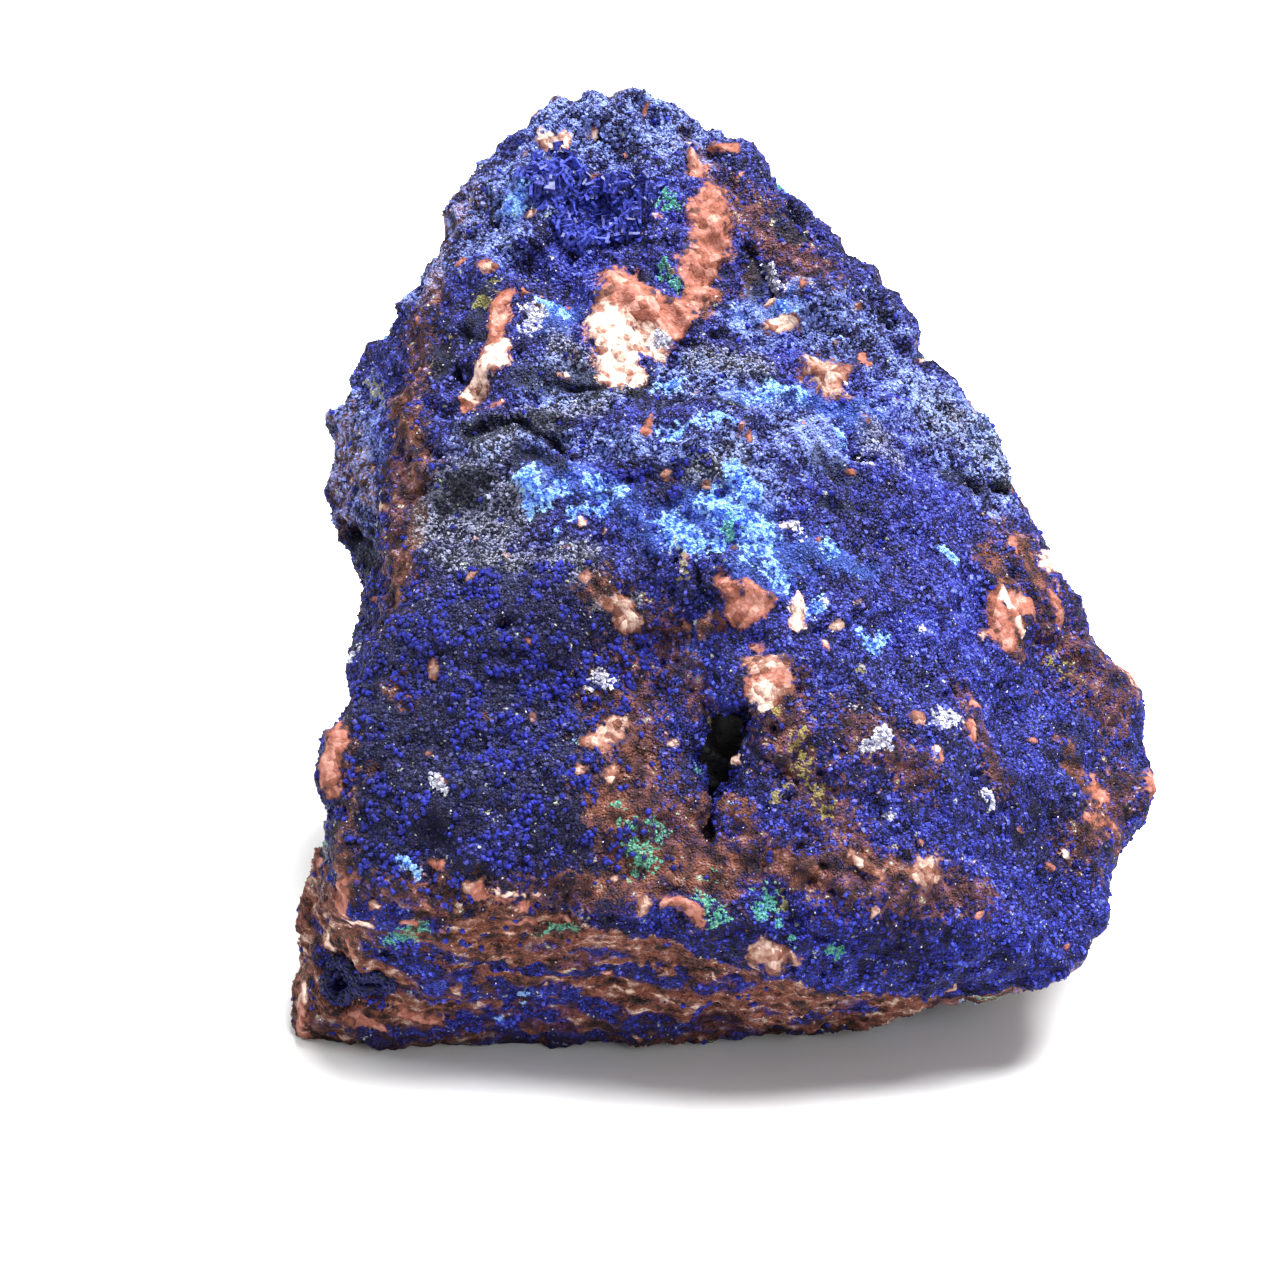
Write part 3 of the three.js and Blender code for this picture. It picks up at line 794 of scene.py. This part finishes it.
# How thickly each kind of grain lies on the skin, from 0 to 1.
def grain_cover(corners, fields, unseen, resting):
    rust, powder, malachite = fields["stains"].T
    _, _, grey_and_sheen = fields["films"].T
    white, navy_and_shade, _ = fields["blues"].T
    bare = step(fields["pale_rock"].max(axis=1), -0.2, 0)
    dry = np.where(resting | (corners[:, 2] < 1.5), 0, 1 - 0.5 * unseen) * (1 - bare)
    clumps = step(noise(corners, 4, 301) + 1.3 * noise(corners, 1.6, 303), 0.1, 0.6)
    return {
        "bare": bare,
        "crust": dry * (1 - 0.4 * fields["bedded"]) * (1 - 0.4 * step(rust, -0.3, 0.1)),
        "balls": dry * (0.06 + step(navy_and_shade, -0.4, 0.1)) * clumps * (1 - 0.7 * unseen),
        "sparkles": 0.2 * dry * (1 + step(grey_and_sheen, -0.3, 0.3)),
        "quartz": step(white, -0.1, 0.3),
        "tufts": dry * step(np.maximum(powder, malachite), -0.15, 0.25),
    }


# Sets a socket to a value or links an output to it.
def feed(tree, socket, value):
    if isinstance(value, bpy.types.NodeSocket):
        tree.links.new(value, socket)
    else:
        socket.default_value = value


def add_node(tree, kind, settings=None, inputs=None):
    node = tree.nodes.new(kind)
    for name, value in (settings or {}).items():
        setattr(node, name, value)
    for name, value in (inputs or {}).items():
        feed(tree, node.inputs[name], value)
    return node


class Nodes:
    """Short ways to add the nodes that a material is made of."""

    def __init__(self, name):
        self.material = bpy.data.materials.new(name)
        self.material.use_nodes = True
        self.tree = self.material.node_tree
        self.shader = self.tree.nodes["Principled BSDF"]
        spot = self.add("ShaderNodeTexCoord").outputs["Object"]
        scaled = self.add("ShaderNodeVectorMath", {"operation": "SCALE"}, {0: spot, 3: 1 / MM})
        self.spot = scaled.outputs[0]

    def add(self, kind, settings=None, inputs=None):
        return add_node(self.tree, kind, settings, inputs)

    def dress(self, looks):
        for name, value in looks.items():
            feed(self.tree, self.shader.inputs[name], value)

    def math(self, operation, first, second=0.0, third=0.0):
        inputs = {0: first, 1: second, 2: third}
        return self.add("ShaderNodeMath", {"operation": operation}, inputs).outputs[0]

    def times(self, first, second):
        return self.math("MULTIPLY", first, second)

    # A value times a factor, plus the rest.
    def plus(self, value, factor, rest):
        return self.math("MULTIPLY_ADD", value, factor, rest)

    def minus(self, first, second):
        return self.math("SUBTRACT", first, second)

    def step(self, value, low, high):
        settings = {"interpolation_type": "SMOOTHSTEP"}
        inputs = {"Value": value, "From Min": low, "From Max": high}
        return self.add("ShaderNodeMapRange", settings, inputs).outputs["Result"]

    def stretched(self, x, y, z):
        settings = {"operation": "MULTIPLY"}
        return self.add("ShaderNodeVectorMath", settings, {0: self.spot, 1: (x, y, z)}).outputs[0]

    def noise(self, size, detail=2.0, spot=None):
        inputs = {"Scale": 1 / size, "Detail": detail, "Vector": spot or self.spot}
        return self.add("ShaderNodeTexNoise", None, inputs).outputs["Fac"]

    def cells(self, size):
        inputs = {"Scale": 1 / size, "Vector": self.spot}
        node = self.add("ShaderNodeTexVoronoi", None, inputs)
        number = self.add("ShaderNodeSeparateColor", None, {"Color": node.outputs["Color"]})
        return node.outputs["Distance"], number.outputs[0]

    def mix(self, share, first, second):
        inputs = {"Factor": share, 6: first, 7: second}
        return self.add("ShaderNodeMix", {"data_type": "RGBA"}, inputs).outputs[2]

    def ramp(self, value, *stops):
        node = self.add("ShaderNodeValToRGB", None, {"Fac": value})
        points = node.color_ramp.elements
        while len(points) < len(stops):
            points.new(1)
        for point, (place, colour) in zip(points, stops):
            point.position = place
            point.color = colour
        return node.outputs["Color"]

    def numbers(self, name):
        node = self.add("ShaderNodeAttribute", {"attribute_name": name})
        parts = self.add("ShaderNodeSeparateXYZ", None, {0: node.outputs["Vector"]})
        return parts.outputs

    def number(self, name):
        return self.add("ShaderNodeAttribute", {"attribute_name": name}).outputs["Fac"]

    def bump(self, height, distance, strength=1.0):
        inputs = {"Height": height, "Distance": distance, "Strength": strength}
        return self.add("ShaderNodeBump", None, inputs).outputs["Normal"]


# A colour given as a screen shows it, from 0 to 255.
def shown(red, green, blue):
    def linear(value):
        value /= 255
        return value / 12.92 if value <= 0.04045 else ((value + 0.055) / 1.055) ** 2.4

    return (linear(red), linear(green), linear(blue), 1)


INDIGO = shown(24, 22, 62)
NAVY_BLUE = shown(8, 7, 30)
ROYAL = shown(46, 50, 158)
SKY = shown(84, 124, 226)
SHEEN_LAVENDER = shown(138, 144, 220)
PLUM = shown(58, 40, 84)
SHEEN_BLUE = shown(146, 166, 232)
CREAM_WHITE = shown(240, 216, 204)
SALMON_PINK = shown(154, 98, 86)
BRICK = shown(134, 78, 62)
TAN_BROWN = shown(154, 120, 108)
DARK_UMBER = shown(38, 23, 24)
UMBER = shown(80, 50, 44)
RUST_BROWN = shown(118, 72, 58)
POWDER_BLUE = shown(150, 196, 244)
POWDER_DEEP = shown(52, 92, 208)
MALACHITE_GREEN = shown(96, 176, 148)
MALACHITE_DARK = shown(40, 96, 88)
LICHEN_YELLOW = shown(150, 142, 78)
NEAR_BLACK = shown(30, 32, 38)
ASH_GREY = shown(156, 158, 174)
BLUES = [
    (0.26, shown(12, 9, 38)),
    (0.38, shown(22, 18, 78)),
    (0.48, shown(33, 34, 126)),
    (0.6, shown(46, 54, 168)),
    (0.76, shown(72, 88, 208)),
    (0.95, shown(140, 156, 240)),
]
SEAM_COLOURS = [
    (0.3, DARK_UMBER),
    (0.42, UMBER),
    (0.5, shown(112, 62, 50)),
    (0.58, RUST_BROWN),
    (0.68, TAN_BROWN),
    (0.78, shown(206, 176, 158)),
]
SANDSTONES = [(0.35, DARK_UMBER), (0.5, UMBER), (0.62, RUST_BROWN), (0.75, TAN_BROWN)]
TANS = [(0.25, UMBER), (0.42, RUST_BROWN), (0.6, TAN_BROWN), (0.85, shown(204, 180, 166))]
SALMONS = [(0.22, UMBER), (0.4, BRICK), (0.6, SALMON_PINK), (0.88, shown(192, 142, 128))]
QUARTZES = [(0.35, shown(96, 98, 130)), (0.6, shown(170, 172, 192)), (0.85, shown(232, 232, 238))]
CREAMS = [(0.2, BRICK), (0.38, TAN_BROWN), (0.55, shown(214, 182, 166)), (0.75, CREAM_WHITE)]


# The hollows' crusts: the node, the look (its name, dark and light colour, width of the mottling in
# millimetres and roughness), the longest edge and the height of the grit in millimetres.
LININGS = [
    ("upper_hollow_crystals", ("bladed_azurite", INDIGO, ROYAL, 1.2, 0.35), 0.5, 0.25),
    ("notch_crystals", ("velvet_azurite", shown(10, 10, 26), INDIGO, 0.8, 0.7), 0.5, 0.2),
    ("vug_crystals", ("dark_lining", shown(8, 7, 8), shown(26, 20, 20), 0.9, 0.6), 0.6, 0.25),
]
LINING_STEPS = 2
LINING_LIFT = 0.25

# The looks of grains of one mineral: the dark and light colour and the roughness.
GRAIN_LOOKS = {
    "azurite_clumps": (shown(10, 10, 42), shown(40, 48, 172), 0.7),
    "quartz_grains": (shown(110, 112, 142), shown(226, 226, 236), 0.2),
    "azurite_blades": (shown(14, 14, 58), shown(78, 90, 204), 0.35),
    "velvet_grains": (shown(8, 8, 24), shown(38, 40, 120), 0.6),
}

# The forms of the grains: the shape and how it is stretched.
CRUMB = ("Cube", (1, 0.75, 0.6))
CLUMP = ("IcoSphere", (0.62, 0.5, 0.42))
QUARTZ = ("Cube", (1, 0.8, 0.7))
TUFT = ("Cube", (1, 0.9, 0.8))
BLADE = ("Cube", (1, 0.7, 0.17))
NUB = ("Cube", (1, 0.8, 0.6))

# The grains: the piece, the node that it lies on, the number that says how thickly, the form, the
# look, how many to a square millimetre, the smallest and largest size in millimetres and the seed.
GRAINS = [
    ("coarse_crystals", "rock", "crust", CRUMB, "crystal_grains", 0.38, 0.3, 0.8, 1),
    ("fine_crystals", "rock", "crust", CRUMB, "crystal_grains", 0.44, 0.2, 0.5, 2),
    ("azurite_clumps", "rock", "balls", CLUMP, "azurite_clumps", 2.4, 0.3, 1.25, 4),
    ("quartz_grains", "rock", "quartz", QUARTZ, "quartz_grains", 2.4, 0.35, 0.9, 5),
    ("quartz_sparkles", "rock", "sparkles", QUARTZ, "quartz_grains", 0.25, 0.14, 0.3, 9),
    ("powder_tufts", "rock", "tufts", TUFT, "crystal_grains", 4.0, 0.2, 0.5, 6),
    ("azurite_blades", "upper_hollow_crystals", "lined", BLADE, "azurite_blades", 2.2, 1.4, 3.2, 7),
    ("blades_round_hollow", "rock", "bladed", BLADE, "azurite_blades", 1.3, 1.2, 3.2, 10),
    ("velvet_grains", "notch_crystals", "lined", NUB, "velvet_grains", 5, 0.3, 0.8, 8),
]

# The lights: the name, the place and width in metres and the power in watts.
LIGHTS = [
    ("overhead", (0.22, 0.05, 0.85), 0.6, 26),
    ("front", (0.5, -0.8, 0.6), 0.5, 3),
    ("left", (-0.75, 0.1, 0.45), 0.5, 4),
]
LIGHT_AIM = Vector((0, 0, 0.07))
WORLD_STRENGTH = 0.25
SENSOR_WIDTH = 36
FLOOR_REACH = 3
FLOOR_DROP = 0.05 * MM
FLOOR_WHITE = (0.9, 0.9, 0.9, 1)

# The widths of the skin's noises and cells, in millimetres.
FINE_WIDTH = 0.5
MEDIUM_WIDTH = 2.4
LACE_WIDTH = 1.0
LAYER_WIDTH = 1.2
GRAIN_WIDTH = 0.42
CHIP_WIDTH = 1.5


# The colours of the crust and the rock under it, from the numbers that the skin carries, with painted
# sheen and painted shade laid in.
def mineral_colour(n, crystals):
    fine = n.noise(FINE_WIDTH, 3)
    medium = n.noise(MEDIUM_WIDTH, 4)
    lace = n.noise(LACE_WIDTH, 4)
    grain_distance, grain = n.cells(GRAIN_WIDTH)
    if crystals:
        grain = n.number("grain_number")
    white, navy_and_shade, bright = n.numbers("blues")
    cream, salmon, tan = n.numbers("pale_rock")
    rust, powder, malachite = n.numbers("stains")
    lichen, oxide_and_shade, grey_and_sheen = n.numbers("films")
    mottled, painted_sheen, azure = n.numbers("washes")
    ragged = n.minus(n.plus(fine, 0.6, medium), 0.8)
    torn = n.minus(n.plus(lace, 1.6, medium), 1.3)

    # Lays a colour over another inside a mineral's strokes, whose border a noise shifts.
    def lay(above, below, field, border, reach, softness=0.12, share=1.0):
        inside = n.step(n.plus(border, reach, field), -softness, softness)
        return n.mix(n.times(inside, share), below, above)

    # How much each value makes the crust paler or darker; the dark blue strokes' darkening is partly
    # painted shade.
    shades = [
        (fine, 0.4),
        (grain, 0.42),
        (n.minus(medium, 0.5), 0.9),
        (n.number("broad"), 0.16),
        (n.step(bright, -0.6, 0.6), 0.1),
        (n.step(navy_and_shade, -0.5, 0.4), -0.24),
    ]
    tone = 0.0
    for value, weight in shades:
        tone = n.plus(value, weight, tone)
    blue = n.ramp(tone, *BLUES)
    # Painted sheen: up-facing surfaces are mixed towards pale lavender.
    top_sheen_share = n.times(n.number("painted_top_sheen"), n.step(grain, 0.2, 1.0))
    blue = n.mix(n.times(top_sheen_share, 0.22), blue, SHEEN_LAVENDER)
    blue = n.mix(n.times(n.step(medium, 0.55, 0.75), 0.3), blue, PLUM)
    blue = lay(SKY, blue, azure, ragged, reach=2.6, softness=0.5, share=0.4)
    if not crystals:
        blue = n.mix(n.times(n.step(grain_distance, 0.1, 0.7), 0.6), blue, NAVY_BLUE)
    sandstone = n.ramp(medium, *SANDSTONES)
    sandstone = n.mix(n.step(fine, 0.66, 0.8), sandstone, TAN_BROWN)
    speckle = n.step(n.plus(lace, 4, mottled), 2.2, 2.7)
    colour = n.mix(n.times(speckle, 0.85), blue, sandstone)
    spotted = n.step(lace, 0.6, 0.52)
    colour = lay(sandstone, colour, rust, ragged, reach=2.4, softness=0.25, share=spotted)
    layers = n.plus(medium, 0.8, n.noise(LAYER_WIDTH, 4, n.stretched(0.26, 0.26, 0.9)))
    seams = n.ramp(n.plus(lace, 0.5, n.minus(layers, 0.65)), *SEAM_COLOURS)
    seams = n.mix(n.times(n.number("blue_seams"), n.step(medium, 0.3, 0.5)), seams, blue)
    # Painted shade: the bedding is darkened towards the base.
    seams = n.mix(n.times(n.number("painted_foot_shade"), 0.55), seams, DARK_UMBER)
    bedded = n.step(n.plus(ragged, 1.2, n.number("bedded")), 0.4, 0.6)
    colour = n.mix(bedded, colour, seams)
    # A grey film, partly painted sheen: pale grey with near-black specks.
    grey_sheen_speckle = n.mix(n.step(grain, 0.4, 0.9), NEAR_BLACK, ASH_GREY)
    colour = lay(grey_sheen_speckle, colour, grey_and_sheen, ragged, reach=1.6, softness=0.5, share=0.65)
    # Painted sheen: a pale blue veil laid over the paler tones inside the sheen strokes.
    painted_sheen_share = n.times(n.step(tone, 0.3, 0.75), 0.75)
    colour = lay(SHEEN_BLUE, colour, painted_sheen, ragged, reach=3.0, softness=0.6, share=painted_sheen_share)
    # Black oxide and painted shade: near-black laid inside these strokes, darkening crevices and the
    # overhang's hollow.
    colour = lay(NEAR_BLACK, colour, oxide_and_shade, ragged, reach=1.6, softness=0.3, share=0.75)
    powdery = n.mix(n.step(lace, 0.4, 0.62), POWDER_DEEP, POWDER_BLUE)
    colour = lay(powdery, colour, powder, torn, reach=2.3, softness=0.25)
    green = n.mix(n.step(fine, 0.35, 0.65), MALACHITE_DARK, MALACHITE_GREEN)
    colour = lay(green, colour, n.minus(malachite, 0.25), torn, reach=3.2, share=0.8)
    colour = lay(LICHEN_YELLOW, colour, n.minus(lichen, 0.45), torn, reach=4.0, share=0.6)
    chipped = n.plus(n.cells(CHIP_WIDTH)[1], 0.45, n.times(lace, 0.8))
    for field, colours in ((tan, TANS), (salmon, SALMONS), (cream, CREAMS)):
        inward = n.math("MINIMUM", field, 0.6)
        stained = n.plus(inward, 0.4, n.minus(chipped, 0.27))
        colour = lay(n.ramp(stained, *colours), colour, field, torn, reach=0.9, softness=0.18)
    # Painted shade: crevices and pinholes are darkened towards navy black.
    painted_hole_shade = n.math("MAXIMUM", n.numbers("shapes")[1], n.number("pinholes"))
    colour = n.mix(n.times(n.step(painted_hole_shade, -0.1, 0.6), 0.85), colour, NAVY_BLUE)
    colour = lay(n.ramp(chipped, *QUARTZES), colour, white, torn, reach=2.2, share=0.75)
    return colour, fine, grain_distance, grain


def rock_finish():
    n = Nodes("azurite_on_sandstone")
    colour, fine, grain_distance, grain = mineral_colour(n, False)
    bare = n.step(n.number("bare"), 0.2, 0.8)
    knobbly = n.times(n.minus(bare, 1), grain_distance)
    cracked = n.plus(n.times(bare, n.cells(CHIP_WIDTH)[0]), -0.5, knobbly)
    normal = n.bump(n.plus(fine, 0.6, cracked), 0.5 * MM)
    n.dress({"Base Color": colour, "Roughness": n.plus(grain, 0.3, 0.5), "Normal": normal})
    n.dress({"Specular IOR Level": 0.15})
    return n.material


def grain_finish():
    n = Nodes("crystal_grains")
    colour, _, _, grain = mineral_colour(n, True)
    n.dress({"Base Color": colour, "Roughness": n.plus(grain, 0.4, 0.2)})
    n.dress({"Specular IOR Level": 0.2})
    return n.material


def single_finish(name, dark, light, roughness):
    n = Nodes(name)
    share = n.times(n.number("grain_number"), n.step(n.noise(0.6, 3), 0.3, 0.7))
    n.dress({"Base Color": n.mix(share, dark, light), "Roughness": roughness})
    n.dress({"Specular IOR Level": 0.25})
    return n.material


def plain_finish(name, dark, light, width, roughness, bump=0.3):
    n = Nodes(name)
    colour = n.mix(n.step(n.noise(width, 3), 0.3, 0.7), dark, light)
    normal = n.bump(n.noise(width / 2, 4), bump * MM)
    n.dress({"Base Color": colour, "Roughness": roughness, "Normal": normal})
    return n.material


def new_object(name, data):
    thing = bpy.data.objects.new(name, data)
    bpy.context.scene.collection.objects.link(thing)
    return thing


# A visible piece, which replaces a CAD node.
def add_piece(name, mesh, material, node):
    piece = new_object(name, mesh)
    mesh.materials.append(material)
    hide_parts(node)
    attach(piece, "root")
    return piece


# The part of a form that some of its triangles make up.
def part_of(corners, triangles, fields):
    used, renumbered = np.unique(triangles, return_inverse=True)
    fields = {name: values[used] for name, values in fields.items()}
    return corners[used], renumbered.reshape(-1, 3), fields


def add_skin(material):
    block, sides = cad_form("rock")
    tree = BVHTree.FromPolygons((block * MM).tolist(), sides.tolist())
    corners, triangles, resting = skin_form(block, sides)
    corners, fields, unseen = dressed(corners, triangles, resting, tree)
    behind = unseen[triangles].mean(axis=1) > 0.5
    for name, chosen in (("seen_skin", ~behind), ("far_skin", behind)):
        part = part_of(corners, triangles[chosen], fields)
        add_piece(name, mesh_of(name, *part), material, "rock")
    return mesh_of("ground", corners, triangles, fields)


SCATTER_INPUTS = {
    "Ground": "Geometry",
    "Density": "Float",
    "Smallest": "Float",
    "Largest": "Float",
    "Seed": "Int",
    "Finish": "Material",
}


# A nodes group that scatters one shape over a ground, as thickly as a number on it says.
def scatter_group(name, shape, stretch, cover):
    group = bpy.data.node_groups.new("scatter_" + name, "GeometryNodeTree")
    for socket, kind in SCATTER_INPUTS.items():
        group.interface.new_socket(socket, in_out="INPUT", socket_type="NodeSocket" + kind)
    group.interface.new_socket("Grains", in_out="OUTPUT", socket_type="NodeSocketGeometry")

    def add(kind, settings=None, inputs=None):
        return add_node(group, kind, settings, inputs).outputs

    given = add("NodeGroupInput")
    thick = add("GeometryNodeInputNamedAttribute", {"data_type": "FLOAT"}, {"Name": cover})
    inputs = {0: thick["Attribute"], 1: given["Density"]}
    density = add("ShaderNodeMath", {"operation": "MULTIPLY"}, inputs)
    inputs = {"Mesh": given["Ground"], "Density": density[0], "Seed": given["Seed"]}
    spots = add("GeometryNodeDistributePointsOnFaces", None, inputs)
    turn = add("FunctionNodeRandomValue", {"data_type": "FLOAT_VECTOR"}, {1: (math.tau,) * 3})
    size = add("FunctionNodeRandomValue", None, {2: given["Smallest"], 3: given["Largest"]})
    inputs = {"Geometry": add("GeometryNodeMesh" + shape)["Mesh"], "Scale": stretch}
    shaped = add("GeometryNodeTransform", None, inputs)
    inputs = {"Points": spots["Points"], "Instance": shaped[0], "Rotation": turn[0], "Scale": size[1]}
    placed = add("GeometryNodeInstanceOnPoints", None, inputs)
    number = add("FunctionNodeRandomValue")[1]
    inputs = {"Geometry": placed[0], "Name": "grain_number", "Value": number}
    named = add("GeometryNodeStoreNamedAttribute", {"domain": "INSTANCE"}, inputs)
    real = add("GeometryNodeRealizeInstances", None, {0: named[0]})
    finish = add("GeometryNodeSetMaterial", None, {"Geometry": real[0], "Material": given["Finish"]})
    add("NodeGroupOutput", None, {"Grains": finish[0]})
    return group


# Grains scattered over a ground mesh, as a piece of their own.
def add_grains(name, ground, group, per_square_mm, smallest, largest, seed, material, node):
    holder = new_object("ground", ground)
    modifier = holder.modifiers.new("grains", "NODES")
    modifier.node_group = group
    values = {
        "Density": per_square_mm / MM**2,
        "Smallest": smallest * MM,
        "Largest": largest * MM,
        "Seed": seed,
        "Finish": material,
    }
    for item in group.interface.items_tree:
        if item.name in values:
            modifier[item.identifier] = values[item.name]
    seen = holder.evaluated_get(bpy.context.evaluated_depsgraph_get())
    mesh = bpy.data.meshes.new_from_object(seen)
    bpy.data.objects.remove(holder)
    mesh.name = name
    mesh.materials.clear()
    return add_piece(name, mesh, material, node)


# A hollow's crust, cut small and roughened, as a piece of its own.
def add_lining(node, material, longest, grit):
    name = node + "_lining"
    corners, triangles = cad_form(node)
    corners, triangles, _ = cut_small(corners, triangles, np.full(len(corners), longest))
    corners = rounded(corners, triangles, LINING_STEPS, ROUNDING_SHARE)
    height = LINING_LIFT + grit * layered_noise(corners, 1.2, 2, 40)
    height += grit * (0.5 - cell_distance(corners, 1.1, 43))
    corners = corners + outward_ways(corners, triangles) * height[:, None]
    mesh = mesh_of(name, corners, triangles, {"lined": np.ones(len(corners))})
    return add_piece(name, mesh, material, node)


def add_camera():
    camera = bpy.data.cameras.new("view")
    camera.sensor_width = SENSOR_WIDTH
    camera.lens = camera.sensor_width * VIEW_REACH / MM * PIXELS_PER_MM / PICTURE_SIDE
    camera.clip_start = 0.01
    holder = new_object("view", camera)
    holder.location = EYE
    holder.rotation_euler = AWAY.to_track_quat("-Z", "Y").to_euler()
    bpy.context.scene.camera = holder


def add_studio():
    world = bpy.data.worlds.new("studio")
    world.use_nodes = True
    background = world.node_tree.nodes["Background"].inputs
    background["Color"].default_value = (1, 1, 1, 1)
    background["Strength"].default_value = WORLD_STRENGTH
    bpy.context.scene.world = world
    for name, place, size, power in LIGHTS:
        light = bpy.data.lights.new(name, "AREA")
        light.shape = "DISK"
        light.size = size
        light.energy = power
        holder = new_object(name, light)
        holder.location = place
        holder.rotation_euler = (LIGHT_AIM - Vector(place)).to_track_quat("-Z", "Y").to_euler()
    corners = np.array([(-1, -1, 0), (1, -1, 0), (1, 1, 0), (-1, 1, 0)]) * FLOOR_REACH / MM
    floor = new_object("floor", mesh_of("floor", corners, np.array([(0, 1, 2), (0, 2, 3)]), {}))
    floor.location.z = -FLOOR_DROP
    finish = plain_finish("white_floor", FLOOR_WHITE, FLOOR_WHITE, width=80, roughness=0.7, bump=0)
    floor.data.materials.append(finish)
    bpy.context.scene.view_settings.view_transform = "Standard"


add_camera()
add_studio()
grounds = {"rock": add_skin(rock_finish())}
for node, look, longest, grit in LININGS:
    grounds[node] = add_lining(node, plain_finish(*look), longest, grit).data
finishes = {name: single_finish(name, *look) for name, look in GRAIN_LOOKS.items()}
finishes["crystal_grains"] = grain_finish()
for name, node, cover, form, finish, per_square_mm, smallest, largest, seed in GRAINS:
    group = scatter_group(name, *form, cover)
    add_grains(name, grounds[node], group, per_square_mm, smallest, largest, seed, finishes[finish], node)
